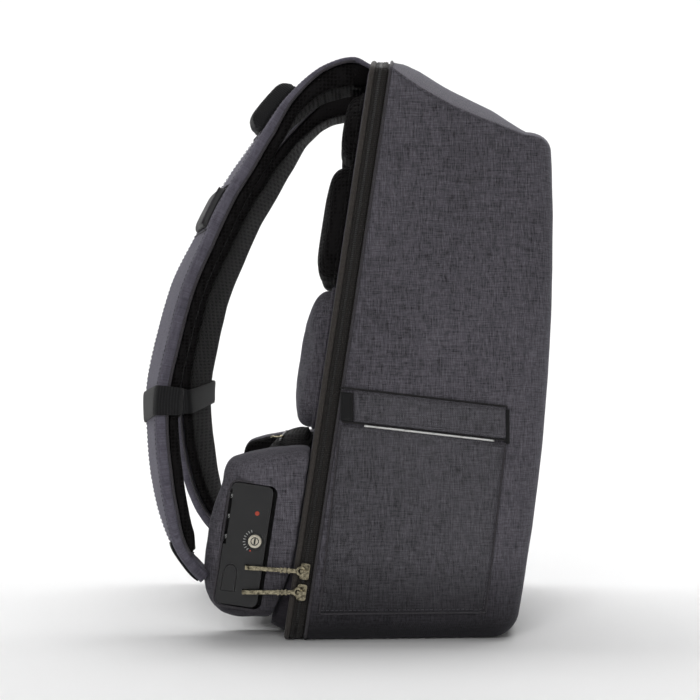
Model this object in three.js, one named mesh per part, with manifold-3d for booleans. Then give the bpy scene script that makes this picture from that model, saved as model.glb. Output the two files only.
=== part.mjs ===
// A zip-round city backpack with a lock: a stiff cloth shell, a padded back panel that closes it along
// a slanted side zip, moulded back pads, two lumbar wings, two shoulder straps, flat side pockets, and
// a combination lock in the left wing that holds both zip pulls.
//
// Units are millimetres. +Z is up. X runs from the wearer's side (-X) to the outer front (+X), and -Y is
// the wearer's left. The origin is the centre of the flat base.
import * as THREE from "three";
import { mergeVertices } from "three/addons/utils/BufferGeometryUtils.js";
import Module from "manifold-3d";

const wasm = await Module();
wasm.setup();

// Clearance between pieces that touch on the real thing
const GAP = 0.3;

// Shell
const BASE_WIDTH = 300;
const SIDE_LEAN = 25; // how far each side leans in at the back seam
const FRONT_NARROWING = 8; // how far each side closes in towards the front
const BACK_SEAM_HEIGHT = 438;
const FRONT_SEAM_HEIGHT = 386;
const TOP_CROWN = 32;
const SHELL_WALL = 3;
const ZIP_FOOT_X = -75;
const ZIP_TOP_X = -9;
const BELLY_X = 116; // furthest reach of the front face
const BELLY_HEIGHT = 310;
const FRONT_FOOT_X = 86;
const FRONT_CROWN = 10;
const FRONT_EDGE_RADIUS = 20;
const BASE_EDGE_RADIUS = 20;
const TOP_EDGE_RADIUS = 8;
const TOP_ROUNDING_SHARE = 0.6; // the top front edge is tighter than the other front edges

// The top panel from the zip to the front: drop is the share of the fall from the back seam to the
// front seam, crown the share of the full crown.
const TOP_SECTIONS = [
  { depth: 0, drop: 0, crown: 0.66 },
  { depth: 0.12, drop: 0.15, crown: 0.88 },
  { depth: 0.25, drop: 0.31, crown: 0.97 },
  { depth: 0.5, drop: 0.58, crown: 0.92 },
  { depth: 0.8, drop: 0.83, crown: 0.76 },
  { depth: 1, drop: 1, crown: 0.45 },
];

// Zip band and back panel
const ZIP_TAPE_WIDTH = 10.5;
const ZIP_TAPE_WALL = 2.5;
const ZIP_TAPE_INSET = 0.6;
const PIPING_WIDTH = 4;
const PIPING_WALL = 4.5;
const PIPING_EDGE = 1.3;
const PANEL_THICKNESS = 13;
const PANEL_PROUD = 1;
const PANEL_EDGE_RADIUS = 6;
const BOLSTER_DEPTH = 12;
const BOLSTER_HEIGHT = 60;

// The padded foot of the back panel: height and swell are shares of the bolster's height and depth.
const BOLSTER_SECTIONS = [
  { height: 0, swell: 1 },
  { height: 0.25, swell: 1 },
  { height: 0.5, swell: 0.58 },
  { height: 1, swell: 0 },
];

// The bolster's ends: inset is a share of its depth, from the side.
const BOLSTER_ENDS = [
  { inset: 0, swell: 0.4 },
  { inset: 0.25, swell: 0.8 },
  { inset: 0.8, swell: 1 },
];

// Back pads: the column between the two mesh pads stays open as an air channel.
const PAD_CHANNEL = 34;
const PAD_SIDE_MARGIN = 10;
const PAD_CORNER = 24;
const UPPER_PAD_MARGIN = 14; // from the back seam down to the upper pads
const UPPER_PAD_TOP = BACK_SEAM_HEIGHT - UPPER_PAD_MARGIN;
const UPPER_PAD_HEIGHT = 54.5;
const UPPER_PAD_FOOT = UPPER_PAD_TOP - UPPER_PAD_HEIGHT;
const UPPER_PAD_RISE = 15;
const MIDDLE_PAD_PITCH = 97.5; // from the middle pad's foot to the upper pad's
const MIDDLE_PAD_FOOT = UPPER_PAD_FOOT - MIDDLE_PAD_PITCH;
const MIDDLE_PAD_RISE = 19;
const LOWER_PAD_RISE = 18;
const PAD_SPACING = 2.4;

// Lumbar wings and the cushion between them
const WING_FOOT = 15.7;
const WING_HEIGHT = 131;
const WING_REACH = 71;
const WING_WIDTH = 44;
const WING_SIDE_INSET = 6; // how far the wing's face lies inside the base's side
const WING_EDGE_RADIUS = 8;
const WING_ROUND = 24; // how deep the soft rounding of the wing's face runs
const WING_REAR_ROUND = 34; // how far that rounding draws in the wing's rear
const WING_RIM = 2;
const WING_LINING = 11;
const CUSHION_RISE = 36;
const CUSHION_TOP = 149;
const CUSHION_SPACING = 9;
const LOWER_PAD_FOOT = CUSHION_TOP + CUSHION_SPACING;
const CUSHION_CORNER = 28;

// The wing's side outline, from its top front corner round the back to its bottom front corner.
const WING_OUTLINE = [
  { reach: 0.22, height: 1 },
  { reach: 0.45, height: 0.985 },
  { reach: 0.72, height: 0.955 },
  { reach: 0.88, height: 0.93 },
  { reach: 0.93, height: 0.875 },
  { reach: 0.925, height: 0.78 },
  { reach: 0.975, height: 0.67 },
  { reach: 1, height: 0.55 },
  { reach: 1, height: 0.4 },
  { reach: 0.985, height: 0.25 },
  { reach: 0.93, height: 0.15 },
  { reach: 0.84, height: 0.075 },
  { reach: 0.71, height: 0.025 },
  { reach: 0.55, height: 0 },
  { reach: 0.35, height: 0 },
];

// Shoulder straps
const STRAP_REACH = 128; // greatest distance of the strap's middle behind the back panel
const STRAP_CREST = 10; // how far the strap's crest rises over the back seam
const STRAP_TOP = BACK_SEAM_HEIGHT + STRAP_CREST;
const STRAP_FOOT = 46;
const STRAP_WIDTH = 62;
const STRAP_CLOTH = 9;
const STRAP_ROOT_CLOTH = 4;
const STRAP_PAD = 9;
const STRAP_ROOT_PAD = 19; // how deep the padding is at the strap's root
const STRAP_PAD_INSET = 3;
const STRAP_ROOT_Y = 66;
const STRAP_FOOT_Y = 120;
const STRAP_TWIST = 17;
const STRAP_RINGS = 25;
const STRAP_CORNER_SHARE = 0.42; // corner rounding as a share of the thickness

// The strap's middle line from its root at the top of the back panel to its foot in the wing.
// inner and outer add up to its distance from the panel: shares of the wing's reach, and of what the
// strap reaches past the wing. height runs from foot to top, spread from the root's Y to the foot's,
// twist turns the outer face sideways, and body and width are shares of the full cloth and width.
const STRAP_LINE = [
  { inner: 0, outer: 0, height: 0.992, spread: 0, twist: 0, body: 0, width: 0.86 },
  { inner: 0.19, outer: 0, height: 1.005, spread: 0.01, twist: 0, body: 0, width: 0.9 },
  { inner: 0.52, outer: 0, height: 0.985, spread: 0.04, twist: 0, body: 0, width: 0.98 },
  { inner: 0.86, outer: 0, height: 0.922, spread: 0.09, twist: 0.1, body: 0.4, width: 1 },
  { inner: 1, outer: 0.08, height: 0.864, spread: 0.14, twist: 0.5, body: 0.9, width: 1 },
  { inner: 1, outer: 0.31, height: 0.797, spread: 0.2, twist: 0.66, body: 1, width: 1 },
  { inner: 1, outer: 0.5, height: 0.738, spread: 0.27, twist: 0.7, body: 1, width: 1 },
  { inner: 1, outer: 0.7, height: 0.652, spread: 0.38, twist: 0.8, body: 1, width: 1 },
  { inner: 1, outer: 0.88, height: 0.565, spread: 0.5, twist: 0.95, body: 1, width: 1 },
  { inner: 1, outer: 0.97, height: 0.45, spread: 0.66, twist: 1, body: 1, width: 1 },
  { inner: 1, outer: 0.99, height: 0.36, spread: 0.77, twist: 0.95, body: 1, width: 1 },
  { inner: 1, outer: 0.9, height: 0.278, spread: 0.85, twist: 0.85, body: 1, width: 1 },
  { inner: 1, outer: 0.76, height: 0.2, spread: 0.92, twist: 0.9, body: 1, width: 0.96 },
  { inner: 1, outer: 0.56, height: 0.119, spread: 0.97, twist: 0.85, body: 1, width: 0.84 },
  { inner: 1, outer: 0.36, height: 0.062, spread: 0.99, twist: 0.6, body: 1, width: 0.7 },
  { inner: 1, outer: 0.12, height: 0.024, spread: 1, twist: 0.3, body: 1, width: 0.6 },
  { inner: 0.94, outer: 0, height: 0, spread: 1, twist: 0.2, body: 1, width: 0.55 },
];

// What sits on a strap. from and to are shares of the strap's length.
const ELASTIC = { from: 0.683, to: 0.73, wall: 1.6 };
const UPPER_TAB = { from: 0.135, to: 0.225, width: 34, rise: 14, edge: 4, taper: 0.22 };
const LOWER_TAB = { from: 0.342, to: 0.412, width: 38, rise: 5, edge: 2, taper: 0.06 };
const ANCHOR = { from: 0.925, to: 1, width: 26, rise: 1.8, edge: 0.6, taper: 0 };
const STRAP_PAD_FROM = 0.005;
const STRAP_PAD_TO = 0.955;
const STRAP_PAD_END = 0.03; // length of the pad's soft ends, as a share of the strap
const TAB_SHOULDER = 0.3; // share of a tab's rise that is upright before it narrows
const RIDER_END = 0.16; // length of a tab's soft ends, as a share of the tab

// How the padding deepens towards the strap's root. place is a share of the strap's length.
const ROOT_PADDING = [
  { place: 0.04, deep: 1 },
  { place: 0.075, deep: 0.8 },
  { place: 0.125, deep: 0.2 },
  { place: 0.17, deep: 0 },
];

// How padding rounds off towards its end
const SOFT_END = [
  { place: 0, body: 0.45 },
  { place: 0.5, body: 0.85 },
  { place: 1, body: 1 },
];

// Side pockets: a welt along the mouth, a reflective strip under it, and the pocket's cloth below.
const POCKET_BACK_X = -47;
const POCKET_FRONT_X = 79;
const POCKET_MOUTH_HEIGHT = 167; // top of the reflective strip at the pocket's back edge
const POCKET_SLOPE = 0.117; // fall of the mouth for each millimetre towards the front
const POCKET_FOOT = 22;
const POCKET_CLOTH = 1.8;
const POCKET_FOOT_TAPER = 16;
const WELT_HEIGHT = 25;
const WELT_CLOTH = 3;
const WELT_BACK_MARGIN = 10;
const GATHER_HEIGHT = 22;
const STRIP_HEIGHT = 2.6;
const STRIP_CLOTH = 1.3;
const STRIP_MARGIN = 18;
const PATCH_STANDOFF = 0.35;

// Lock
const LOCK_WIDTH = 32;
const LOCK_HEIGHT = 92;
const LOCK_DEPTH = 15;
const LOCK_CORNER = 5;
const LOCK_SUNK = 1; // how far the lock's face lies below the wing's
const LOCK_REAR_MARGIN = 15.5; // from the lock's middle line to the wing's back edge, past half its width
const LOCK_MIDDLE_HEIGHT = 73.3;
const LOCK_SEAT = 0.3;
const LOCK_BEVEL_FACE = 2; // the back edge's bevel, across the face and down the side
const LOCK_BEVEL_SIDE = 5;
const DIAL_RADIUS = 5.6;
const DIAL_WIDTH = 5;
const DIAL_BORE = 1.5;
const DIAL_AXLE = 1.2;
const DIAL_EDGE = 0.5;
const DIAL_INSET = 4.5; // from the lock's back edge to the dials' axis
const DIAL_SINK = 6.1; // from the lock's face to the dials' axis
const DIAL_ROOM = 0.5;
const DIAL_NOTCH = 1.4; // finger room round the dials in the wing
const DIAL_SIDE_ROOM = 0.3;
const DIAL_FIRST = 35; // height of the top dial above the lock's middle
const DIAL_PITCH = 15.5;
const DIAL_COUNT = 3;
const KEY_RADIUS = 5;
const KEY_DEPTH = 9;
const KEY_PROUD = 0.4;
const KEY_ROOM = 0.25;
const KEY_X = 7.4;
const KEY_Z = 3.8;
const KEYWAY_WIDTH = 1.3;
const KEYWAY_HEIGHT = 5.2;
const KEYWAY_DEPTH = 4;
const BUTTON_WIDTH = 10;
const BUTTON_HEIGHT = 20;
const BUTTON_DEPTH = 5;
const BUTTON_PROUD = 0.5;
const BUTTON_TRAVEL = 1.5;
const BUTTON_ROOM = 0.3;
const BUTTON_X = -7.5;
const BUTTON_Z = -26;

// Zip sliders and their pulls. reach is how far ahead of the wing's rear a pull's tip enters the lock.
const PULLS = [
  { name: "upper", sliderZ: 54, reach: 33.5, tipZ: 56.5 },
  { name: "lower", sliderZ: 38.5, reach: 31.2, tipZ: 38 },
];
const SLIDER_LENGTH = 12;
const SLIDER_WIDTH = 7;
const SLIDER_BEHIND = 6.8; // from the zip line to the slider's middle
const SLIDER_BODY = 3.2;
const SLIDER_CORNER = 1.6;
const BRIDGE_POST = 1.4;
const BRIDGE_SPAN = 7;
const BRIDGE_WIDTH = 2.6;
const BRIDGE_CLEAR = 3.6;
const BRIDGE_BAR = 1.3;
const PULL_THICKNESS = 1.9;
const PULL_HEIGHT = 3;
const PULL_RING_BORE = 2.1;
const PULL_RING_WALL = 1.6;
const PULL_TIP = 4.2;
const PULL_TIP_WIDTH = 2.4;
const PULL_HOVER = 0.4;
const PULL_RIBS = 3;
const PULL_RIB = 0.5;
const PULL_RIB_PITCH = 3;
const PULL_RIB_START = 9;
const PULL_SLOT_ROOM = 0.6;

const LEFT = -1;
const rad = THREE.MathUtils.degToRad;
const lerp = THREE.MathUtils.lerp;

function shares(from, to, count) {
  return Array.from({ length: count }, (_, i) => lerp(from, to, i / (count - 1)));
}

// Reads one column of a table of sections at a place on another column.
function atSection(rows, placeColumn, column, place) {
  const after = rows.findIndex((row) => row[placeColumn] >= place);
  if (after <= 0) return rows[after < 0 ? rows.length - 1 : 0][column];
  const [a, b] = [rows[after - 1], rows[after]];
  const share = (place - a[placeColumn]) / (b[placeColumn] - a[placeColumn]);
  return lerp(a[column], b[column], share);
}

// Signed volume of a triangle mesh, positive when its faces point outward.
function signedVolume(points, faces) {
  const cross = new THREE.Vector3();
  return faces.reduce((sum, [a, b, c]) => {
    return sum + points[a].dot(cross.crossVectors(points[b], points[c])) / 6;
  }, 0);
}

function geometryFrom(points, faces) {
  const outward = signedVolume(points, faces) > 0;
  const index = faces.flatMap(([a, b, c]) => (outward ? [a, b, c] : [a, c, b]));
  const geometry = new THREE.BufferGeometry();
  geometry.setAttribute(
    "position",
    new THREE.Float32BufferAttribute(points.flatMap((p) => p.toArray()), 3),
  );
  geometry.setIndex(index);
  return geometry;
}

function bandFaces(first, second, count) {
  const faces = [];
  for (let i = 0; i < count; i++) {
    const next = (i + 1) % count;
    faces.push([first + i, first + next, second + next], [first + i, second + next, second + i]);
  }
  return faces;
}

// Triangles over one end ring: a fan round its middle
function fanEnd(points, start, count) {
  const ring = points.slice(start, start + count);
  const middle = ring.reduce((sum, p) => sum.add(p), new THREE.Vector3()).divideScalar(count);
  const apex = points.push(middle) - 1;
  return ring.map((_, i) => [start + i, start + ((i + 1) % count), apex]);
}

// A closed body through rings of equal length
function loft(rings) {
  const count = rings[0].length;
  const last = (rings.length - 1) * count;
  const points = rings.flat();
  const faces = [];
  for (let start = 0; start < last; start += count) faces.push(...bandFaces(start, start + count, count));
  faces.push(...fanEnd(points, 0, count).map(([a, b, c]) => [c, b, a]));
  faces.push(...fanEnd(points, last, count));
  return geometryFrom(points, faces);
}

// A closed ring through loops that lead back to the first.
function hoop(loops) {
  const count = loops[0].length;
  const faces = loops.flatMap((_, r) => {
    return bandFaces(r * count, ((r + 1) % loops.length) * count, count);
  });
  return geometryFrom(loops.flat(), faces);
}

function toSolid(geometry) {
  const bare = geometry.clone();
  bare.deleteAttribute("normal");
  bare.deleteAttribute("uv");
  const merged = mergeVertices(bare, 1e-4);
  return new wasm.Manifold(
    new wasm.Mesh({
      numProp: 3,
      vertProperties: merged.attributes.position.array,
      triVerts: new Uint32Array(merged.index.array),
    }),
  );
}

function fromSolid(solid) {
  const mesh = solid.getMesh();
  const geometry = new THREE.BufferGeometry();
  geometry.setAttribute("position", new THREE.BufferAttribute(mesh.vertProperties, mesh.numProp));
  geometry.setIndex(new THREE.BufferAttribute(mesh.triVerts, 1));
  return geometry;
}

function cut(geometry, ...tools) {
  return fromSolid(tools.reduce((solid, tool) => solid.subtract(toSolid(tool)), toSolid(geometry)));
}

function join(...geometries) {
  return fromSolid(geometries.map(toSolid).reduce((a, b) => a.add(b)));
}

function mirrored(geometry) {
  const copy = geometry.clone();
  const place = copy.attributes.position;
  for (let i = 0; i < place.count; i++) place.setY(i, -place.getY(i));
  const index = [...copy.index.array];
  for (let i = 0; i < index.length; i += 3) [index[i], index[i + 1]] = [index[i + 1], index[i]];
  copy.setIndex(index);
  return copy;
}

// Shell surfaces
function zipX(z) {
  return lerp(ZIP_FOOT_X, ZIP_TOP_X, z / BACK_SEAM_HEIGHT);
}

function frontX(z) {
  return BELLY_X - (BELLY_X - FRONT_FOOT_X) * ((BELLY_HEIGHT - z) / BELLY_HEIGHT) ** 2;
}

function halfWidth(z, depth) {
  return BASE_WIDTH / 2 - (SIDE_LEAN * z) / BACK_SEAM_HEIGHT - FRONT_NARROWING * depth;
}

// One half of a cross-section of the body, as (y, z) from the middle of the base to the middle of the
// top, for a share of the depth and a distance in from the outer surface.
function halfLoop(depth, inset) {
  const drop = atSection(TOP_SECTIONS, "depth", "drop", depth);
  const crown = TOP_CROWN * atSection(TOP_SECTIONS, "depth", "crown", depth);
  const seam = lerp(BACK_SEAM_HEIGHT, FRONT_SEAM_HEIGHT, drop) - inset * TOP_ROUNDING_SHARE;
  const foot = inset;
  const round = Math.max(BASE_EDGE_RADIUS - inset, SHELL_WALL);
  const side = (z) => halfWidth(z, depth) - inset;
  const at = (y, z) => new THREE.Vector2(y, z);
  const flat = side(foot + round) - round;
  const points = [at(0, foot), at(flat / 2, foot)];
  const arcSteps = 4;
  for (let i = 0; i <= arcSteps; i++) {
    const turn = (Math.PI / 2) * (i / arcSteps);
    points.push(at(flat + round * Math.sin(turn), foot + round * (1 - Math.cos(turn))));
  }
  const shoulder = seam - TOP_EDGE_RADIUS;
  const sideSteps = 5;
  for (let i = 1; i <= sideSteps; i++) {
    const z = lerp(foot + round, shoulder, i / sideSteps);
    points.push(at(side(z), z));
  }
  const corner = at(side(seam), seam);
  const roof = (y) => at(y, seam + crown * (1 - (y / corner.x) ** 2));
  const start = points.at(-1);
  const end = roof(corner.x - TOP_EDGE_RADIUS);
  points.push(at((start.x + 2 * corner.x + end.x) / 4, (start.y + 2 * corner.y + end.y) / 4));
  const roofSteps = 4;
  for (let i = 0; i <= roofSteps; i++) points.push(roof(end.x * (1 - i / roofSteps)));
  return points;
}

// A whole cross-section, placed in space by a function that gives X for each of its points.
function bodyLoop(depth, inset, placeX) {
  const half = halfLoop(depth, inset);
  const other = half.slice(1, -1).reverse();
  const width = Math.max(...half.map((p) => p.x));
  return [...half, ...other.map((p) => new THREE.Vector2(-p.x, p.y))].map(
    (p) => new THREE.Vector3(placeX(p.y, p.x / width), p.x, p.y),
  );
}

function frontSwell(across, depth) {
  return FRONT_CROWN * depth * depth * (1 - across * across);
}

// The body's skin from the zip to the middle of the front, at a distance in from the outer surface.
function skinLoops(inset, depths, edgeTurns) {
  const round = FRONT_EDGE_RADIUS - inset;
  const loops = depths.map((depth) =>
    bodyLoop(depth, inset, (z, across) => {
      return lerp(zipX(z), frontX(z) - FRONT_EDGE_RADIUS, depth) + frontSwell(across, depth);
    }),
  );
  for (const degrees of edgeTurns) {
    const turn = rad(degrees);
    const sunk = inset + round * (1 - Math.sin(turn));
    loops.push(
      bodyLoop(1, inset + round * (1 - Math.cos(turn)), (z, across) => {
        return frontX(z) - sunk + frontSwell(across, 1);
      }),
    );
  }
  return [...loops, ...faceLoops(loops.at(-1), inset)];
}

// Loops drawn in towards the middle of the front face, which keep its crown.
function faceLoops(rim, inset) {
  const top = Math.max(...rim.map((p) => p.z));
  const foot = Math.min(...rim.map((p) => p.z));
  const width = Math.max(...rim.map((p) => p.y));
  const middle = (top + foot) / 2;
  return [0.7, 0.35].map((share) =>
    rim.map((p) => {
      const [y, z] = [p.y * share, lerp(middle, p.z, share)];
      return new THREE.Vector3(frontX(z) - inset + frontSwell(y / width, 1), y, z);
    }),
  );
}

function mainShell() {
  const depths = TOP_SECTIONS.map((row) => row.depth);
  const outside = skinLoops(0, depths, [30, 60, 90]);
  const inside = skinLoops(SHELL_WALL, depths, [45, 90]);
  return loft([...inside.reverse(), ...outside]);
}

// A hoop that follows the zip, with its section given as distances behind the zip and in from the skin.
function zipHoop(section) {
  return hoop(section.map(([behind, inset]) => bodyLoop(0, inset, (z) => zipX(z) - behind)));
}

function zipTape() {
  const [near, far] = [GAP, GAP + ZIP_TAPE_WIDTH];
  const deep = ZIP_TAPE_INSET + ZIP_TAPE_WALL;
  return zipHoop([
    [near, ZIP_TAPE_INSET],
    [far, ZIP_TAPE_INSET],
    [far, deep],
    [near, deep],
  ]);
}

const PIPING_START = ZIP_TAPE_WIDTH + 2 * GAP;
const PANEL_BACK = PIPING_START + PIPING_WIDTH + PANEL_PROUD;

function backPiping() {
  const [near, far] = [PIPING_START, PIPING_START + PIPING_WIDTH];
  return zipHoop([
    [near, PIPING_EDGE],
    [near + PIPING_EDGE, 0],
    [far - PIPING_EDGE, 0],
    [far, PIPING_EDGE],
    [far, PIPING_WALL],
    [near, PIPING_WALL],
  ]);
}

function bolster(z) {
  return BOLSTER_DEPTH * atSection(BOLSTER_SECTIONS, "height", "swell", z / BOLSTER_HEIGHT);
}

// X of the back panel's face that the pads sit on
function panelX(z) {
  return zipX(z) - PANEL_BACK - bolster(z);
}

function flatPanel(grow) {
  const rim = PIPING_WALL + GAP - grow;
  const face = PANEL_BACK + grow;
  const front = PANEL_BACK - PANEL_THICKNESS - grow;
  const edge = PANEL_EDGE_RADIUS;
  const rows = [
    { behind: front, inset: rim + edge / 3 },
    { behind: front + edge / 3, inset: rim },
    { behind: face - edge / 2, inset: rim },
    { behind: face - edge / 6, inset: rim + edge / 4 },
    { behind: face, inset: rim + edge },
  ];
  return loft(rows.map(({ behind, inset }) => bodyLoop(0, inset, (z) => zipX(z) - behind)));
}

// The padded foot of the panel, from the left to the right, with soft ends
function bolsterRoll(grow) {
  const foot = PIPING_WALL + PANEL_EDGE_RADIUS - grow;
  const side = halfWidth(0, 0) - PIPING_WALL - PANEL_EDGE_RADIUS + grow;
  const heights = [foot, ...BOLSTER_SECTIONS.slice(1).map((row) => row.height * BOLSTER_HEIGHT)];
  const ring = (y, swell) => {
    const face = (z) => zipX(z) - PANEL_BACK - grow - bolster(z) * swell;
    const outside = heights.map((z) => new THREE.Vector3(face(z), y, z));
    const inside = heights.map((z) => new THREE.Vector3(zipX(z) - PANEL_BACK + PANEL_PROUD, y, z));
    return [...outside, ...inside.reverse()];
  };
  const ends = BOLSTER_ENDS.map(({ inset, swell }) => ring(-side + BOLSTER_DEPTH * inset, swell));
  const others = BOLSTER_ENDS.map(({ inset, swell }) => ring(side - BOLSTER_DEPTH * inset, swell));
  return loft([...ends, ...others.reverse()]);
}

function backPanel(grow = 0) {
  return join(flatPanel(grow), bolsterRoll(grow));
}

// Everything between the zip and the back of the piping, with clearance, for cutting the straps' roots
function backRim() {
  const loops = [-GAP, PIPING_START + PIPING_WIDTH + GAP].map((behind) => {
    return bodyLoop(0, -GAP, (z) => zipX(z) - behind);
  });
  return loft(loops);
}

// The four quarter arcs of a rounded rectangle, from its upper right corner on. left, right, low and
// high are the places of the arcs' centres.
function roundedCorners(left, right, low, high, round, steps) {
  const centres = [
    [right, high],
    [left, high],
    [left, low],
    [right, low],
  ];
  return centres.flatMap(([a, b], corner) =>
    shares(corner, corner + 1, steps + 1).map((quarters) => {
      const turn = (quarters * Math.PI) / 2;
      return new THREE.Vector2(a + round * Math.cos(turn), b + round * Math.sin(turn));
    }),
  );
}

// A rounded rectangle as (y, z) points, drawn in by inset
function roundedOutline(yLow, yHigh, zLow, zHigh, corner, inset) {
  const round = Math.max(corner - inset, corner / 3);
  const [left, right] = [yLow + inset + round, yHigh - inset - round];
  const [low, high] = [zLow + inset + round, zHigh - inset - round];
  return roundedCorners(left, right, low, high, round, 3);
}

// How a pad swells: rise is the share of its height, inset the share of its corner radius.
const PAD_SECTIONS = [
  { rise: 0, inset: 0.1 },
  { rise: 0.3, inset: 0 },
  { rise: 0.62, inset: 0.06 },
  { rise: 0.85, inset: 0.22 },
  { rise: 0.97, inset: 0.5 },
  { rise: 1, inset: 0.95 },
];

function pad({ yLow, yHigh, zLow, zHigh, corner, rise }) {
  const ring = (section) =>
    roundedOutline(yLow, yHigh, zLow, zHigh, corner, corner * section.inset).map(
      (p) => new THREE.Vector3(panelX(p.y) - GAP - rise * section.rise, p.x, p.y),
    );
  return loft(PAD_SECTIONS.map(ring));
}

function padSide(z) {
  return halfWidth(z, 0) - PIPING_WALL - PAD_SIDE_MARGIN;
}

function meshPad(zLow, zHigh, rise) {
  return pad({
    yLow: -padSide(zHigh),
    yHigh: -PAD_CHANNEL / 2,
    zLow,
    zHigh,
    corner: PAD_CORNER,
    rise,
  });
}

function lowerBackPad() {
  return pad({
    yLow: -padSide(MIDDLE_PAD_FOOT),
    yHigh: padSide(MIDDLE_PAD_FOOT),
    zLow: LOWER_PAD_FOOT,
    zHigh: MIDDLE_PAD_FOOT - PAD_SPACING,
    corner: PAD_CORNER,
    rise: LOWER_PAD_RISE,
  });
}

const WING_OUTER_Y = BASE_WIDTH / 2 - WING_SIDE_INSET;
const WING_INNER_Y = WING_OUTER_Y - WING_WIDTH;
const LINING_INNER_Y = WING_INNER_Y - GAP - WING_LINING;

function lumbarCushion() {
  return pad({
    yLow: -(LINING_INNER_Y - GAP),
    yHigh: LINING_INNER_Y - GAP,
    zLow: WING_FOOT + PAD_SPACING,
    zHigh: CUSHION_TOP,
    corner: CUSHION_CORNER,
    rise: CUSHION_RISE,
  });
}

// The wing's side outline as (x, z): the front follows the back panel, and the rest the table. It is
// drawn towards the front by rear, and in from the top and the foot by edge.
function wingOutline(rear, edge) {
  const foot = WING_FOOT + edge;
  const top = WING_FOOT + WING_HEIGHT - edge;
  const behind = ({ reach, height }) => {
    const z = lerp(foot, top, height);
    return new THREE.Vector2(zipX(z) - PANEL_BACK - (WING_REACH - rear) * reach, z);
  };
  const bends = BOLSTER_SECTIONS.map((row) => row.height * BOLSTER_HEIGHT);
  const inside = bends.filter((z) => z > foot && z < top);
  const front = [foot, ...inside, top].map((z) => new THREE.Vector2(panelX(z) - GAP, z));
  while (front.length < bends.length + 2) front.splice(1, 0, front[0].clone().lerp(front[1], 0.5));
  return [...WING_OUTLINE.map(behind), ...front];
}

// A slab of the wing's outline between two distances from the middle plane. A rim says how far the
// rounding of one edge reaches across, draws in the rear, and draws in the top and the foot.
function wingSlab(outerY, innerY, outerRim, innerRim, shrink) {
  const ring = (y, rim, turn) => {
    const share = 1 - Math.cos(turn);
    const outline = wingOutline(shrink + rim.rear * share, shrink + rim.edge * share);
    return outline.map((p) => new THREE.Vector3(p.x, LEFT * y, p.y));
  };
  const turns = (rim) => (rim.across > WING_RIM ? [90, 65, 40, 15] : [90, 30]).map(rad);
  const sunk = (rim, turn) => rim.across * (1 - Math.sin(turn));
  const outer = turns(outerRim).map((turn) => ring(outerY - sunk(outerRim, turn), outerRim, turn));
  const inner = turns(innerRim).map((turn) => ring(innerY + sunk(innerRim, turn), innerRim, turn));
  return loft([...outer, ...inner.reverse()]);
}

function wing(grow = 0) {
  const soft = { across: WING_ROUND, rear: WING_REAR_ROUND, edge: WING_EDGE_RADIUS };
  const tight = { across: WING_RIM, rear: WING_RIM, edge: WING_RIM };
  return wingSlab(WING_OUTER_Y + grow, WING_INNER_Y - grow, soft, tight, -grow);
}

function wingLining(grow = 0) {
  const tight = { across: WING_RIM, rear: WING_RIM, edge: WING_RIM };
  const soft = { across: WING_EDGE_RADIUS, rear: WING_EDGE_RADIUS, edge: WING_EDGE_RADIUS };
  return wingSlab(WING_INNER_Y - GAP + grow, LINING_INNER_Y - grow, tight, soft, GAP - grow);
}

// Shoulder strap of the left side
function strapStation(row) {
  const z = lerp(STRAP_FOOT, STRAP_TOP, row.height);
  const reach = WING_REACH * row.inner + (STRAP_REACH - WING_REACH) * row.outer;
  const y = LEFT * lerp(STRAP_ROOT_Y, STRAP_FOOT_Y, row.spread);
  return new THREE.Vector3(zipX(z) - PANEL_BACK - reach, y, z);
}

const strapCurve = new THREE.CatmullRomCurve3(STRAP_LINE.map(strapStation), false, "centripetal");

// Place, directions and section of the strap at a share of its length
function strapSection(share) {
  const u = strapCurve.getUtoTmapping(share);
  const middle = strapCurve.getPoint(u);
  const along = strapCurve.getTangent(u);
  const rows = STRAP_LINE.map((row, i) => ({ ...row, place: i / (STRAP_LINE.length - 1) }));
  const read = (column) => atSection(rows, "place", column, u);
  const sideways = new THREE.Vector3(0, LEFT, 0);
  sideways.addScaledVector(along, -along.dot(sideways)).normalize();
  const out = new THREE.Vector3().crossVectors(along, sideways).normalize();
  const twist = rad(STRAP_TWIST * read("twist"));
  const side = sideways.clone().multiplyScalar(Math.cos(twist)).addScaledVector(out, -Math.sin(twist));
  const face = out.clone().multiplyScalar(Math.cos(twist)).addScaledVector(sideways, Math.sin(twist));
  const cloth = lerp(STRAP_ROOT_CLOTH, STRAP_CLOTH, read("body"));
  return { middle, side, face, cloth, width: STRAP_WIDTH * read("width") };
}

const strapPlaces = shares(0, 1, STRAP_RINGS);
const strapSections = strapPlaces.map(strapSection);

// A section between two of the strap's own rings, so that all that rides on it follows its facets
function strapFrame(share) {
  const place = share * (STRAP_RINGS - 1);
  const i = Math.min(Math.floor(place), STRAP_RINGS - 2);
  const [a, b] = [strapSections[i], strapSections[i + 1]];
  const blend = place - i;
  return {
    middle: a.middle.clone().lerp(b.middle, blend),
    side: a.side.clone().lerp(b.side, blend),
    face: a.face.clone().lerp(b.face, blend),
    cloth: lerp(a.cloth, b.cloth, blend),
    width: lerp(a.width, b.width, blend),
  };
}

// The strap's own places from one share to another, with the two ends
function stations(from, to) {
  return [from, ...strapPlaces.filter((share) => share > from && share < to), to];
}

// A slab section in the strap's frame: width across, and from low to high along its face direction
function slabRing(frame, width, low, high, edge) {
  const round = Math.min(edge, (high - low) / 2);
  const side = width / 2 - round;
  return roundedCorners(-side, side, low + round, high - round, round, 2).map((p) =>
    frame.middle.clone().addScaledVector(frame.side, p.x).addScaledVector(frame.face, p.y),
  );
}

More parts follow.
